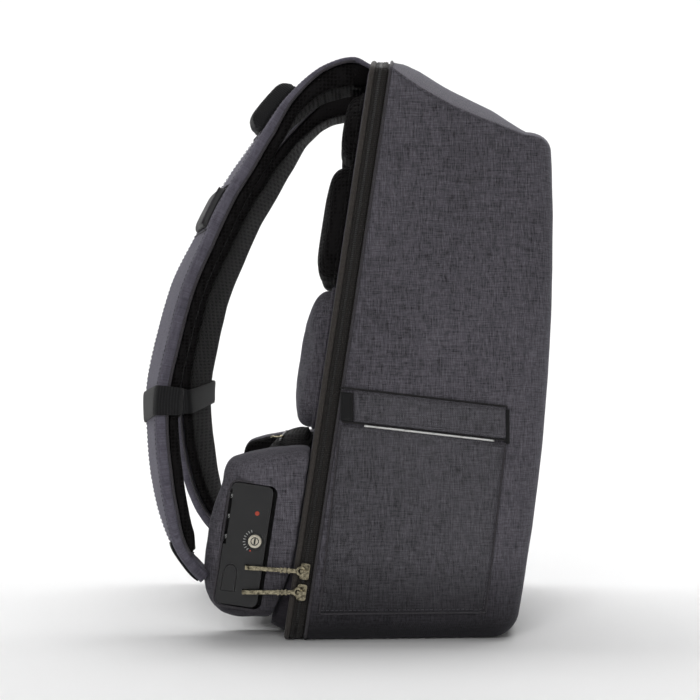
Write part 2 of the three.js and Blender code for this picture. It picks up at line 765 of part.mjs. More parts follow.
function strapSlab(grow = 0) {
  const rings = strapSections.map((frame) => {
    const half = frame.cloth / 2 + grow;
    return slabRing(frame, frame.width + 2 * grow, -half, half, frame.cloth * STRAP_CORNER_SHARE);
  });
  return loft(rings);
}

function strapCloth() {
  return cut(strapSlab(), backRim(), backPanel(GAP), wing(GAP), wingLining(GAP));
}

function strapPad() {
  const soft = STRAP_PAD_END / 2;
  const [from, to] = [STRAP_PAD_FROM, STRAP_PAD_TO];
  const places = [...stations(from, to - 2 * soft), to - soft, to];
  const rings = places.map((share) => {
    const frame = strapFrame(share);
    const deep = lerp(STRAP_PAD, STRAP_ROOT_PAD, atSection(ROOT_PADDING, "place", "deep", share));
    const depth = deep * atSection(SOFT_END, "place", "body", (to - share) / STRAP_PAD_END);
    const low = -frame.cloth / 2 - GAP - depth;
    const width = frame.width - 2 * STRAP_PAD_INSET;
    return slabRing(frame, width, low, 0, STRAP_PAD * STRAP_CORNER_SHARE);
  });
  return cut(loft(rings), strapSlab(GAP), backRim(), backPanel(GAP), wing(GAP), wingLining(GAP));
}

// A piece that rides on the strap's outer face, cut to fit it, and narrows as it rises
function strapRider({ from, to, width, rise, edge, taper }) {
  const soft = (to - from) * RIDER_END;
  const places = [from, from + soft / 2, ...stations(from + soft, to - soft), to - soft / 2, to];
  const rings = places.map((share) => {
    const frame = strapFrame(share);
    const height = rise * atSection(SOFT_END, "place", "body", Math.min(share - from, to - share) / soft);
    const foot = frame.cloth / 2 + GAP;
    return taperedRing(frame, width, foot, foot + height, edge, taper);
  });
  return cut(loft(rings), strapSlab(GAP));
}

function taperedRing(frame, width, foot, high, edge, taper) {
  const narrow = (width / 2) * (1 - taper);
  const shoulder = lerp(foot, high, TAB_SHOULDER);
  const section = [
    [width / 2, foot / 2],
    [width / 2, shoulder],
    [narrow, high - edge],
    [narrow - edge, high],
    [-narrow + edge, high],
    [-narrow, high - edge],
    [-width / 2, shoulder],
    [-width / 2, foot / 2],
  ];
  return section.map(([a, b]) =>
    frame.middle.clone().addScaledVector(frame.side, a).addScaledVector(frame.face, b),
  );
}

function strapElastic() {
  const wrap = (share, out) => {
    const frame = strapFrame(share);
    const half = frame.cloth / 2;
    const reach = GAP + out;
    const low = -half - GAP - STRAP_PAD - reach;
    return slabRing(frame, frame.width + 2 * reach, low, half + reach, 3 + out);
  };
  const places = stations(ELASTIC.from, ELASTIC.to);
  const inside = places.map((share) => wrap(share, 0));
  const outside = places.map((share) => wrap(share, ELASTIC.wall)).reverse();
  return hoop([...inside, ...outside]);
}

function strapAnchor() {
  return cut(strapRider(ANCHOR), wing(GAP), wingLining(GAP));
}

// Side pockets, as patches that lie on the left side of the shell
function sidePlace(x, z, out) {
  const depth = (x - zipX(z)) / (frontX(z) - FRONT_EDGE_RADIUS - zipX(z));
  return new THREE.Vector3(x, LEFT * (halfWidth(z, depth) + PATCH_STANDOFF + out), z);
}

// A closed patch between two edges given as functions of the share along it
function sidePatch(lowEdge, highEdge, cloth, columns, rows) {
  const edgeShare = 0.35;
  const ring = (along) => {
    const front = [];
    const back = [];
    for (let j = 0; j <= rows; j++) {
      const low = lowEdge(along);
      const high = highEdge(along);
      const x = lerp(low.x, high.x, j / rows);
      const z = lerp(low.y, high.y, j / rows);
      const thin = j === 0 || j === rows || along === 0 || along === 1;
      front.push(sidePlace(x, z, thin ? cloth * (1 - edgeShare) : cloth));
      back.push(sidePlace(x, z, 0));
    }
    return [...front, ...back.reverse()];
  };
  return loft(shares(0, 1, columns + 1).map(ring));
}

function mouthZ(x) {
  return POCKET_MOUTH_HEIGHT - POCKET_SLOPE * (x - POCKET_BACK_X);
}

function mouthEdge(fromX, toX, above) {
  return (along) => {
    const x = lerp(fromX, toX, along);
    return new THREE.Vector2(x, mouthZ(x) + above);
  };
}

function pocketWelt() {
  const from = POCKET_BACK_X + WELT_BACK_MARGIN;
  const low = mouthEdge(from, POCKET_FRONT_X, GAP);
  return sidePatch(low, mouthEdge(from, POCKET_FRONT_X, WELT_HEIGHT), WELT_CLOTH, 6, 3);
}

function pocketGather() {
  const to = POCKET_BACK_X + WELT_BACK_MARGIN - GAP;
  return sidePatch(
    mouthEdge(POCKET_BACK_X, to, GAP),
    mouthEdge(POCKET_BACK_X, to, GATHER_HEIGHT),
    WELT_CLOTH,
    2,
    3,
  );
}

function pocketStrip() {
  const from = POCKET_BACK_X + STRIP_MARGIN;
  const to = POCKET_FRONT_X - STRIP_MARGIN / 2;
  return sidePatch(mouthEdge(from, to, -STRIP_HEIGHT), mouthEdge(from, to, 0), STRIP_CLOTH, 6, 1);
}

function pocketCloth() {
  const low = (along) => {
    const x = lerp(POCKET_BACK_X, POCKET_FRONT_X, along);
    return new THREE.Vector2(x - POCKET_FOOT_TAPER, POCKET_FOOT);
  };
  const high = mouthEdge(POCKET_BACK_X, POCKET_FRONT_X, -STRIP_HEIGHT - GAP);
  return sidePatch(low, high, POCKET_CLOTH, 6, 5);
}

// Lock: its own frame has X across, Y into the wing and Z up the lock, with the face at Y 0.
const ZIP_TILT = Math.atan((ZIP_TOP_X - ZIP_FOOT_X) / BACK_SEAM_HEIGHT);
const SIDE_TILT = Math.atan(SIDE_LEAN / BACK_SEAM_HEIGHT);
const WING_REAR_X = zipX(LOCK_MIDDLE_HEIGHT) - PANEL_BACK - WING_REACH;
const lockMatrix = new THREE.Matrix4()
  .makeRotationY(ZIP_TILT)
  .setPosition(
    WING_REAR_X + LOCK_REAR_MARGIN + LOCK_WIDTH / 2,
    LEFT * (WING_OUTER_Y - LOCK_SUNK),
    LOCK_MIDDLE_HEIGHT,
  );

// Lays an extrusion that was drawn in XY and runs along Z so that it is drawn in XZ and runs along Y.
function layBack(geometry, depth) {
  return geometry.rotateX(Math.PI / 2).translate(0, depth, 0);
}

function extruded(shape, depth, curveSegments) {
  return new THREE.ExtrudeGeometry(shape, { depth, bevelEnabled: false, curveSegments });
}

function roundedPlate(width, height, corner, depth) {
  const [w, h] = [width / 2, height / 2];
  const shape = new THREE.Shape();
  shape.absarc(w - corner, -h + corner, corner, -Math.PI / 2, 0);
  shape.absarc(w - corner, h - corner, corner, 0, Math.PI / 2);
  shape.absarc(-w + corner, h - corner, corner, Math.PI / 2, Math.PI);
  shape.absarc(-w + corner, -h + corner, corner, Math.PI, Math.PI * 1.5);
  return layBack(extruded(shape, depth, 2), depth);
}

// A rod along the lock's Z
function lockRod(radius, length, x, y, z, sides) {
  const rod = new THREE.CylinderGeometry(radius, radius, length, sides);
  return rod.rotateX(Math.PI / 2).translate(x, y, z);
}

const dialX = -LOCK_WIDTH / 2 + DIAL_INSET;
const dialHeights = Array.from({ length: DIAL_COUNT }, (_, i) => DIAL_FIRST - DIAL_PITCH * i);
const DIAL_ZONE = DIAL_PITCH * (DIAL_COUNT - 1) + DIAL_WIDTH + 2 * DIAL_SIDE_ROOM;
const dialMiddle = (dialHeights[0] + dialHeights.at(-1)) / 2;

function dialBevel() {
  const over = 2;
  const slope = LOCK_BEVEL_SIDE / LOCK_BEVEL_FACE;
  const back = -LOCK_WIDTH / 2;
  const shape = new THREE.Shape([
    new THREE.Vector2(back - over, LOCK_BEVEL_SIDE + over * slope),
    new THREE.Vector2(back - over, -over),
    new THREE.Vector2(back + LOCK_BEVEL_FACE + over / slope, -over),
  ]);
  const length = DIAL_ZONE + DIAL_WIDTH;
  return extruded(shape, length, 1).translate(0, 0, dialMiddle - length / 2);
}

function lockBody() {
  const plate = roundedPlate(LOCK_WIDTH, LOCK_HEIGHT, LOCK_CORNER, LOCK_DEPTH);
  const pocket = DIAL_WIDTH + 2 * DIAL_SIDE_ROOM;
  const pockets = dialHeights.map((z) => {
    return lockRod(DIAL_RADIUS + DIAL_ROOM, pocket, dialX, DIAL_SINK, z, 24);
  });
  const seat = KEY_RADIUS + KEY_ROOM;
  const keySeat = new THREE.CylinderGeometry(seat, seat, KEY_DEPTH * 2, 24);
  keySeat.translate(KEY_X, 0, KEY_Z);
  const hollow = buttonPlate(BUTTON_ROOM, (BUTTON_DEPTH + BUTTON_TRAVEL) * 2);
  hollow.translate(BUTTON_X, -BUTTON_DEPTH - BUTTON_TRAVEL, BUTTON_Z);
  const toLock = lockMatrix.clone().invert();
  const slots = PULLS.map((pull) => pullTip(pull, PULL_SLOT_ROOM).applyMatrix4(toLock));
  const body = cut(plate, dialBevel(), ...pockets, keySeat, hollow, ...slots);
  return join(body, lockRod(DIAL_AXLE, DIAL_ZONE + 2 * DIAL_WIDTH, dialX, DIAL_SINK, dialMiddle, 12));
}

function lockRecess() {
  const room = 2 * LOCK_SEAT;
  const above = 3 * LOCK_SUNK;
  const deep = LOCK_DEPTH + LOCK_SEAT + above;
  const plate = roundedPlate(LOCK_WIDTH + room, LOCK_HEIGHT + room, LOCK_CORNER + LOCK_SEAT, deep);
  return plate.translate(0, -above, 0).applyMatrix4(lockMatrix);
}

function dialNotch() {
  const notch = lockRod(DIAL_RADIUS + DIAL_NOTCH, DIAL_ZONE, dialX, DIAL_SINK, dialMiddle, 24);
  return notch.applyMatrix4(lockMatrix);
}

function dial() {
  const [half, edge] = [DIAL_WIDTH / 2, DIAL_EDGE];
  const profile = [
    [DIAL_BORE, -half],
    [DIAL_RADIUS - edge, -half],
    [DIAL_RADIUS, -half + edge],
    [DIAL_RADIUS, half - edge],
    [DIAL_RADIUS - edge, half],
    [DIAL_BORE, half],
    [DIAL_BORE, -half],
  ].map(([r, y]) => new THREE.Vector2(r, y));
  return new THREE.LatheGeometry(profile, 14).rotateX(Math.PI / 2);
}

function lockCylinder() {
  const barrel = new THREE.CylinderGeometry(KEY_RADIUS, KEY_RADIUS, KEY_DEPTH, 28);
  barrel.translate(0, KEY_DEPTH / 2 - KEY_PROUD, 0);
  const keyway = new THREE.BoxGeometry(KEYWAY_WIDTH, KEYWAY_DEPTH * 2, KEYWAY_HEIGHT);
  return cut(barrel, keyway.translate(0, -KEY_PROUD, 0));
}

// The release button's outline: a flat foot and a rounded point
function buttonPlate(grow, depth) {
  const w = BUTTON_WIDTH / 2 + grow;
  const h = BUTTON_HEIGHT / 2 + grow;
  const shape = new THREE.Shape();
  shape.moveTo(-w, -h);
  shape.lineTo(w, -h);
  shape.lineTo(w, 0);
  shape.quadraticCurveTo(w, h, 0, h);
  shape.quadraticCurveTo(-w, h, -w, 0);
  return layBack(extruded(shape, depth, 5), depth);
}

function lockRelease() {
  return buttonPlate(0, BUTTON_DEPTH).translate(0, -BUTTON_PROUD, 0);
}

// Zip sliders and pulls
function sliderMatrix({ sliderZ }) {
  const y = LEFT * (halfWidth(sliderZ, 0) - ZIP_TAPE_INSET + GAP);
  return new THREE.Matrix4()
    .makeRotationFromEuler(new THREE.Euler(-SIDE_TILT, ZIP_TILT, 0))
    .setPosition(zipX(sliderZ) - SLIDER_BEHIND, y, sliderZ);
}

const POST_X = (BRIDGE_SPAN - BRIDGE_POST) / 2;

// In the slider's own frame, Y 0 is its back and -Y points away from the zip.
function zipSlider() {
  const body = roundedPlate(SLIDER_WIDTH, SLIDER_LENGTH, SLIDER_CORNER, SLIDER_BODY);
  body.translate(0, -SLIDER_BODY, 0);
  const root = SLIDER_BODY / 2;
  const height = root + BRIDGE_CLEAR + BRIDGE_BAR;
  const top = -SLIDER_BODY - BRIDGE_CLEAR - BRIDGE_BAR;
  const post = (x) => {
    return new THREE.BoxGeometry(BRIDGE_POST, height, BRIDGE_WIDTH).translate(x, top + height / 2, 0);
  };
  const bar = new THREE.BoxGeometry(BRIDGE_SPAN, BRIDGE_BAR, BRIDGE_WIDTH);
  bar.translate(0, top + BRIDGE_BAR / 2, 0);
  return join(body, post(-POST_X), post(POST_X), bar);
}

// A pull's own frame: the origin is the middle of its ring, X runs to the ring from its tip, and the
// face of the bag lies towards +Y. The tip dips into the lock at the far end.
function pullFrame(pull) {
  const ring = new THREE.Vector3(-POST_X, -SLIDER_BODY - BRIDGE_CLEAR / 2, 0);
  ring.applyMatrix4(sliderMatrix(pull));
  const tipY = LEFT * (WING_OUTER_Y + PULL_HOVER + PULL_THICKNESS / 2);
  const tip = new THREE.Vector3(WING_REAR_X + pull.reach, tipY, pull.tipZ);
  const across = new THREE.Vector3().subVectors(ring, tip);
  const length = across.length();
  across.normalize();
  const up = new THREE.Vector3(0, 0, 1);
  up.addScaledVector(across, -across.z).normalize();
  const into = new THREE.Vector3().crossVectors(up, across);
  const matrix = new THREE.Matrix4().makeBasis(across, into, up).setPosition(ring);
  return { matrix, length };
}

function pullTip(pull, room) {
  const { matrix, length } = pullFrame(pull);
  const deep = PULL_THICKNESS / 2 + PULL_TIP + room;
  const tip = new THREE.BoxGeometry(PULL_TIP_WIDTH + 2 * room, deep, PULL_HEIGHT + 2 * room);
  return tip.translate(-length, deep / 2, 0).applyMatrix4(matrix);
}

function pullBar(pull) {
  const { matrix, length } = pullFrame(pull);
  const outer = PULL_RING_BORE + PULL_RING_WALL;
  const shape = new THREE.Shape();
  shape.absarc(0, 0, outer, 0, Math.PI * 2);
  const hole = new THREE.Path();
  hole.absarc(0, 0, PULL_RING_BORE, 0, Math.PI * 2, true);
  shape.holes.push(hole);
  const ring = layBack(extruded(shape, PULL_THICKNESS, 7), PULL_THICKNESS / 2);
  const start = PULL_RING_BORE + PULL_RING_WALL / 2;
  const reach = length - start + PULL_TIP_WIDTH / 2;
  const bar = new THREE.BoxGeometry(reach, PULL_THICKNESS, PULL_HEIGHT);
  bar.translate(-start - reach / 2, 0, 0);
  const ribs = Array.from({ length: PULL_RIBS }, (_, i) => {
    const rib = new THREE.BoxGeometry(PULL_RIB_PITCH / 2, PULL_THICKNESS, PULL_HEIGHT + 2 * PULL_RIB);
    return rib.translate(-PULL_RIB_START - PULL_RIB_PITCH * i, -PULL_RIB, 0);
  });
  return join(join(ring, bar, ...ribs).applyMatrix4(matrix), pullTip(pull, 0));
}

// Materials
function material(color, roughness, metalness = 0) {
  return new THREE.MeshStandardMaterial({ color, roughness, metalness });
}

const greyCloth = () => material(0x545158, 0.95);
const strapGrey = () => material(0x55535c, 0.95);
const blackMesh = () => material(0x1c1a1a, 0.95);
const zipCloth = () => material(0x26231f, 0.8);
const beigePiping = () => material(0x4a4642, 0.85);
const blackWebbing = () => material(0x141416, 0.8);
const reflective = () => material(0xe1e1de, 0.35);
const blackPlastic = () => material(0x232424, 0.4);
const keySteel = () => material(0xb8b4a8, 0.3, 1);
const pullMetal = () => material(0xb4aa8c, 0.35, 1);

const root = new THREE.Group();

function addMesh(parent, name, geometry, finish) {
  const mesh = new THREE.Mesh(geometry, finish());
  mesh.name = name;
  parent.add(mesh);
  return mesh;
}

function addPair(name, geometry, finish) {
  addMesh(root, `${name}_left`, geometry, finish);
  addMesh(root, `${name}_right`, mirrored(geometry), finish);
}

function addBody() {
  addMesh(root, "main_shell", mainShell(), greyCloth);
  addMesh(root, "zip_tape", zipTape(), zipCloth);
  addMesh(root, "back_piping", backPiping(), beigePiping);
  addMesh(root, "back_panel", backPanel(), greyCloth);
}

function addPads() {
  addPair("upper_pad", meshPad(UPPER_PAD_FOOT, UPPER_PAD_TOP, UPPER_PAD_RISE), blackMesh);
  addPair("middle_pad", meshPad(MIDDLE_PAD_FOOT, UPPER_PAD_FOOT - PAD_SPACING, MIDDLE_PAD_RISE), blackMesh);
  addMesh(root, "lower_back_pad", lowerBackPad(), greyCloth);
  addMesh(root, "lumbar_cushion", lumbarCushion(), blackMesh);
}

function addWings() {
  addMesh(root, "wing_left", cut(wing(), lockRecess(), dialNotch()), greyCloth);
  addMesh(root, "wing_right", mirrored(wing()), greyCloth);
  addPair("wing_lining", wingLining(), blackMesh);
}

function addStraps() {
  addPair("strap", strapCloth(), strapGrey);
  addPair("strap_pad", strapPad(), blackMesh);
  addPair("strap_elastic", strapElastic(), blackWebbing);
  addPair("strap_anchor", strapAnchor(), blackWebbing);
  addPair("upper_tab", strapRider(UPPER_TAB), blackWebbing);
  addPair("lower_tab", strapRider(LOWER_TAB), blackPlastic);
}

function addPockets() {
  addPair("pocket_welt", pocketWelt(), greyCloth);
  addPair("pocket_gather", pocketGather(), blackWebbing);
  addPair("pocket_strip", pocketStrip(), reflective);
  addPair("pocket_cloth", pocketCloth(), greyCloth);
}

function addLock() {
  const lock = new THREE.Group();
  lock.applyMatrix4(lockMatrix);
  root.add(lock);
  addMesh(lock, "lock_body", lockBody(), blackPlastic);
  dialHeights.forEach((z, i) => {
    addMesh(lock, `lock_dial_${i + 1}`, dial(), blackPlastic).position.set(dialX, DIAL_SINK, z);
  });
  addMesh(lock, "lock_cylinder", lockCylinder(), keySteel).position.set(KEY_X, 0, KEY_Z);
  addMesh(lock, "lock_release", lockRelease(), blackPlastic).position.set(BUTTON_X, 0, BUTTON_Z);
}

function addZipPulls() {
  for (const pull of PULLS) {
    const slider = addMesh(root, `zip_slider_${pull.name}`, zipSlider(), pullMetal);
    slider.applyMatrix4(sliderMatrix(pull));
    addMesh(root, `zip_pull_${pull.name}`, pullBar(pull), pullMetal);
  }
}

addBody();
addPads();
addWings();
addStraps();
addPockets();
addLock();
addZipPulls();

export default root;
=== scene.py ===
import math

import bpy
import bmesh
from mathutils import Matrix, Vector, noise


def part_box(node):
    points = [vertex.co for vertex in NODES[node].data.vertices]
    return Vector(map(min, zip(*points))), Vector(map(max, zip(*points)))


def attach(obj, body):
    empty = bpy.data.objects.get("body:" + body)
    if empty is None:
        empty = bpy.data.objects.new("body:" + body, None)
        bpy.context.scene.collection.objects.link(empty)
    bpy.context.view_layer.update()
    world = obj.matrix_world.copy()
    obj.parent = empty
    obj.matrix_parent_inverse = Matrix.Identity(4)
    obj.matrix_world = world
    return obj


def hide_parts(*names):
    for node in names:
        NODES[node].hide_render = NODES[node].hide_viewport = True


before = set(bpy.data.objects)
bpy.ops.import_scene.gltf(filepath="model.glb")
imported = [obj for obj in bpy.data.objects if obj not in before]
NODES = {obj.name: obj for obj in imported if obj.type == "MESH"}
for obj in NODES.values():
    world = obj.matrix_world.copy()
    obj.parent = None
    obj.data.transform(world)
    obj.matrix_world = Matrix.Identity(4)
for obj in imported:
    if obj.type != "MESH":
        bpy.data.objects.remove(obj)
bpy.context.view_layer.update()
MM = 0.001
LEFT = -1
rad = math.radians

# Camera: the photograph looks straight at the left side.
CAMERA_PLACE = (-0.03975, -1.25, 0.2205)
LENS, SENSOR_WIDTH = 75.4, 36
camera_data = bpy.data.cameras.new("camera")
camera_data.lens = LENS
camera_data.sensor_width = SENSOR_WIDTH
camera = bpy.data.objects.new("camera", camera_data)
camera.location = CAMERA_PLACE
camera.rotation_euler = (rad(90), 0, 0)
bpy.context.scene.collection.objects.link(camera)
bpy.context.scene.camera = camera


# Shapes of the bag, in millimetres, as in the model of its solids
def lerp(a, b, t):
    return a + (b - a) * t


def spread(first, last, count):
    """Evenly spaced values from first to last, both included."""
    return [lerp(first, last, i / (count - 1)) for i in range(count)]


def arc(middle, radius, start, end, steps):
    """Points of an arc from start to end degrees, both included, as pairs."""
    turns = [rad(lerp(start, end, i / steps)) for i in range(steps + 1)]
    return [(middle[0] + radius * math.cos(t), middle[1] + radius * math.sin(t)) for t in turns]


def round_rectangle(left, right, low, high, corner, steps=6):
    """The outline of a rectangle with round corners, as pairs."""
    points = []
    for x, y, start in (
        (right - corner, high - corner, 0),
        (left + corner, high - corner, 90),
        (left + corner, low + corner, 180),
        (right - corner, low + corner, 270),
    ):
        points += arc((x, y), corner, start, start + 90, steps)
    return points


def at_row(rows, place):
    """Reads a table of (place, value, ...) rows at a place."""
    if place <= rows[0][0]:
        return rows[0][1:]
    for a, b in zip(rows, rows[1:]):
        if place <= b[0]:
            t = (place - a[0]) / (b[0] - a[0])
            return tuple(lerp(x, y, t) for x, y in zip(a[1:], b[1:]))
    return rows[-1][1:]


def smooth(low, high, value):
    """Rises softly from 0 at low to 1 at high, and the other way where high is the lower one."""
    t = min(max((value - low) / (high - low), 0), 1)
    return t * t * (3 - 2 * t)


BACK_SEAM = 438
FRONT_SEAM = 386
PANEL_BACK = 16.1
ZIP_FOOT_X, ZIP_TOP_X = -75, -9
BELLY_X, BELLY_HEIGHT, BELLY_TUCK = 116, 310, 30
BASE_HALF_WIDTH, SIDE_TAPER, FRONT_TAPER = 150, 25, 8
CROWN_RISE = 32
FRONT_SWELL = 10
EDGE_ROUND, LEAST_ROUND, CREASE_ROUND = 20, 3, 3.2
SEAM_PROUD = 0.35  # how far seams and patches stand out of the body's side
BASE_STEPS, ARC_STEPS, SIDE_STEPS, CREASE_STEPS, ROOF_STEPS = 14, 8, 44, 4, 26
# depth, share of the fall to the front seam, share of the crown
TOP_ROWS = [
    (0, 0, 0.66),
    (0.12, 0.15, 0.88),
    (0.25, 0.31, 0.97),
    (0.5, 0.58, 0.92),
    (0.8, 0.83, 0.76),
    (1, 1, 0.45),
]
BOLSTER_ROWS = [(0, 12), (15, 12), (30, 7), (60, 0)]


def zip_x(z):
    return lerp(ZIP_FOOT_X, ZIP_TOP_X, z / BACK_SEAM)


def front_x(z):
    return BELLY_X - BELLY_TUCK * ((BELLY_HEIGHT - z) / BELLY_HEIGHT) ** 2


def half_width(z, depth):
    return BASE_HALF_WIDTH - SIDE_TAPER * z / BACK_SEAM - FRONT_TAPER * depth


def body_x(z, depth):
    """The place between the zip and the start of the front edge."""
    return lerp(zip_x(z), front_x(z) - EDGE_ROUND, depth)


def top_at(depth):
    """The height of the side seam and the rise of the crown over it."""
    drop, crown = at_row(TOP_ROWS, depth)
    return lerp(BACK_SEAM, FRONT_SEAM, drop), CROWN_RISE * crown


def half_loop(depth, inset):
    """Half a section of the body as (y, z), from the middle of the base to the middle of the top."""
    seam, crown = top_at(depth)
    seam -= inset * 0.6
    edge = max(EDGE_ROUND - inset, LEAST_ROUND)
    side = lambda z: half_width(z, depth) - inset
    flat = side(inset + edge) - edge
    points = [(flat * i / BASE_STEPS, inset) for i in range(BASE_STEPS)]
    points += arc((flat, inset + edge), edge, -90, 0, ARC_STEPS)
    heights = spread(inset + edge, seam - CREASE_ROUND, SIDE_STEPS + 1)[1:]
    points += [(side(z), z) for z in heights]
    corner = (side(seam), seam)
    roof = lambda y: (y, seam + crown * (1 - (y / corner[0]) ** 2))
    start = points[-1]
    end = roof(corner[0] - CREASE_ROUND)
    for i in range(1, CREASE_STEPS):
        t = i / CREASE_STEPS
        shares = ((1 - t) ** 2, 2 * t * (1 - t), t * t)
        points.append(tuple(sum(s * p[k] for s, p in zip(shares, (start, corner, end))) for k in (0, 1)))
    points += [roof(end[0] * (1 - i / ROOF_STEPS)) for i in range(ROOF_STEPS + 1)]
    return points


def body_loop(depth, inset, place_x):
    """A whole section of the body; place_x gives x for a height and a share of the half width."""
    half = half_loop(depth, inset)
    width = max(y for y, _ in half)
    whole = half + [(-y, z) for y, z in half[-2:0:-1]]
    return [Vector((place_x(z, y / width), y, z)) for y, z in whole]


def front_swell(across, depth):
    """How far the front bulges, for a share of the half width."""
    return FRONT_SWELL * depth * depth * (1 - across * across)


# Mesh makers
def link(obj):
    bpy.context.scene.collection.objects.link(obj)
    return obj


def edit_mesh(obj, action):
    """Runs action on an editable copy of an object's mesh, and writes the copy back."""
    mesh = bmesh.new()
    mesh.from_mesh(obj.data)
    action(mesh)
    mesh.to_mesh(obj.data)
    mesh.free()


def shade_smooth(obj, angle=None):
    """Smooth shading, but sharp edges where faces meet at more than angle degrees."""

    def mark_sharp(mesh):
        for e in mesh.edges:
            if len(e.link_faces) == 2 and e.calc_face_angle(0) > rad(angle):
                e.smooth = False

    for p in obj.data.polygons:
        p.use_smooth = True
    if angle is not None:
        edit_mesh(obj, mark_sharp)


def piece(name, points, faces, finish, slot, stands_for=(), uvs=None, body="pack", angle=None):
    """A piece from points in millimetres. uvs holds (u, v) in metres for each point."""
    mesh = bpy.data.meshes.new(name)
    mesh.from_pydata([Vector(p) * MM for p in points], [], faces)
    mesh.update()
    if uvs:
        layer = mesh.uv_layers.new(name="weave")
        for item in mesh.loops:
            layer.data[item.index].uv = uvs[item.vertex_index]
    obj = link(bpy.data.objects.new(name, mesh))
    fix_normals(obj)
    return dress(obj, finish, stands_for, body, angle)


def fix_normals(obj):
    edit_mesh(obj, lambda mesh: bmesh.ops.recalc_face_normals(mesh, faces=mesh.faces))


def dress(obj, finish, stands_for=(), body="pack", angle=None):
    """Gives an object its material and body, and hides the solids that it stands for."""
    obj.data.materials.clear()
    obj.data.materials.append(finish)
    shade_smooth(obj, angle)
    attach(obj, body)
    if stands_for:
        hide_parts(*stands_for)
    return obj


def band(rings, closed_along=False, caps=True):
    """Points and faces through closed rings of equal length."""
    count = len(rings[0])
    points = [p for ring in rings for p in ring]
    faces = []
    last = len(rings) if closed_along else len(rings) - 1
    for r in range(last):
        a, b = r * count, ((r + 1) % len(rings)) * count
        for i in range(count):
            j = (i + 1) % count
            faces.append((a + i, a + j, b + j, b + i))
    if caps and not closed_along:
        for start, flip in ((0, True), (count * (len(rings) - 1), False)):
            middle = sum((points[start + i] for i in range(count)), Vector()) / count
            points.append(middle)
            apex = len(points) - 1
            for i in range(count):
                j = (i + 1) % count
                faces.append((start + j, start + i, apex) if flip else (start + i, start + j, apex))
    return points, faces


def combine(*parts):
    """Joins several (points, faces) pairs into one."""
    points, faces = [], []
    for more, tiles in parts:
        base = len(points)
        points += more
        faces += [tuple(base + i for i in f) for f in tiles]
    return points, faces


def mirror_points(points):
    return [Vector((p.x, -p.y, p.z)) for p in points]


def both_sides(name, points, faces, finish, slot, stands_for="", uvs=None, angle=None):
    """The same piece on the left and, mirrored, on the right."""
    made = []
    for side, place in (("left", points), ("right", mirror_points(points))):
        nodes = [f"{stands_for}_{side}"] if stands_for else []
        made.append(piece(f"{name}_{side}", place, faces, finish, slot, nodes, uvs, angle=angle))
    return made


def tube(path, radius, sides=8, closed=False, flatten=1, normals=None):
    """A tube along a path. radius is one value or one for each point."""
    rings = []
    count = len(path)
    turns = [2 * math.pi * k / sides for k in range(sides)]
    for i, p in enumerate(path):
        before = path[(i - 1) % count] if closed or i else path[0]
        after = path[(i + 1) % count] if closed or i < count - 1 else path[-1]
        along = (after - before).normalized()
        up = normals[i] if normals else Vector((0, 1, 0))
        side = along.cross(up)
        if side.length < 1e-6:
            side = along.cross(Vector((1, 0, 0)))
        side.normalize()
        up = side.cross(along).normalized()
        r = radius[i] if isinstance(radius, list) else radius
        rings.append([p + side * r * math.cos(t) + up * r * flatten * math.sin(t) for t in turns])
    return band(rings, closed_along=closed)


def resample(path, step):
    """Points at even steps along a path, with the direction at each."""
    out = []
    carried = 0.0
    for a, b in zip(path, path[1:]):
        length = (b - a).length
        place = carried
        while place < length:
            out.append((a.lerp(b, place / length), (b - a).normalized()))
            place += step
        carried = place - length
    return out


STITCH_STATIONS = ((-0.5, 0.35), (-0.25, 1), (0.25, 1), (0.5, 0.35))  # place, and share of the height
STITCH_TURNS = [math.pi * k / 3 for k in range(6)]


def stitches(path, normals_at, pitch=3.4, length=2.3, radius=0.33, proud=0.12):
    """Points and faces of a row of short thread stitches along a path."""
    parts = []
    for p, along in resample(path, pitch):
        up = normals_at(p).normalized()
        side = along.cross(up).normalized()
        rings = []
        for t, share in STITCH_STATIONS:
            middle = p + along * length * t + up * (proud * share - radius * (1 - share))
            wide, tall = side * radius * 0.9, up * radius * share
            rings.append([middle + wide * math.cos(a) + tall * math.sin(a) for a in STITCH_TURNS])
        parts.append(band(rings))
    return combine(*parts)


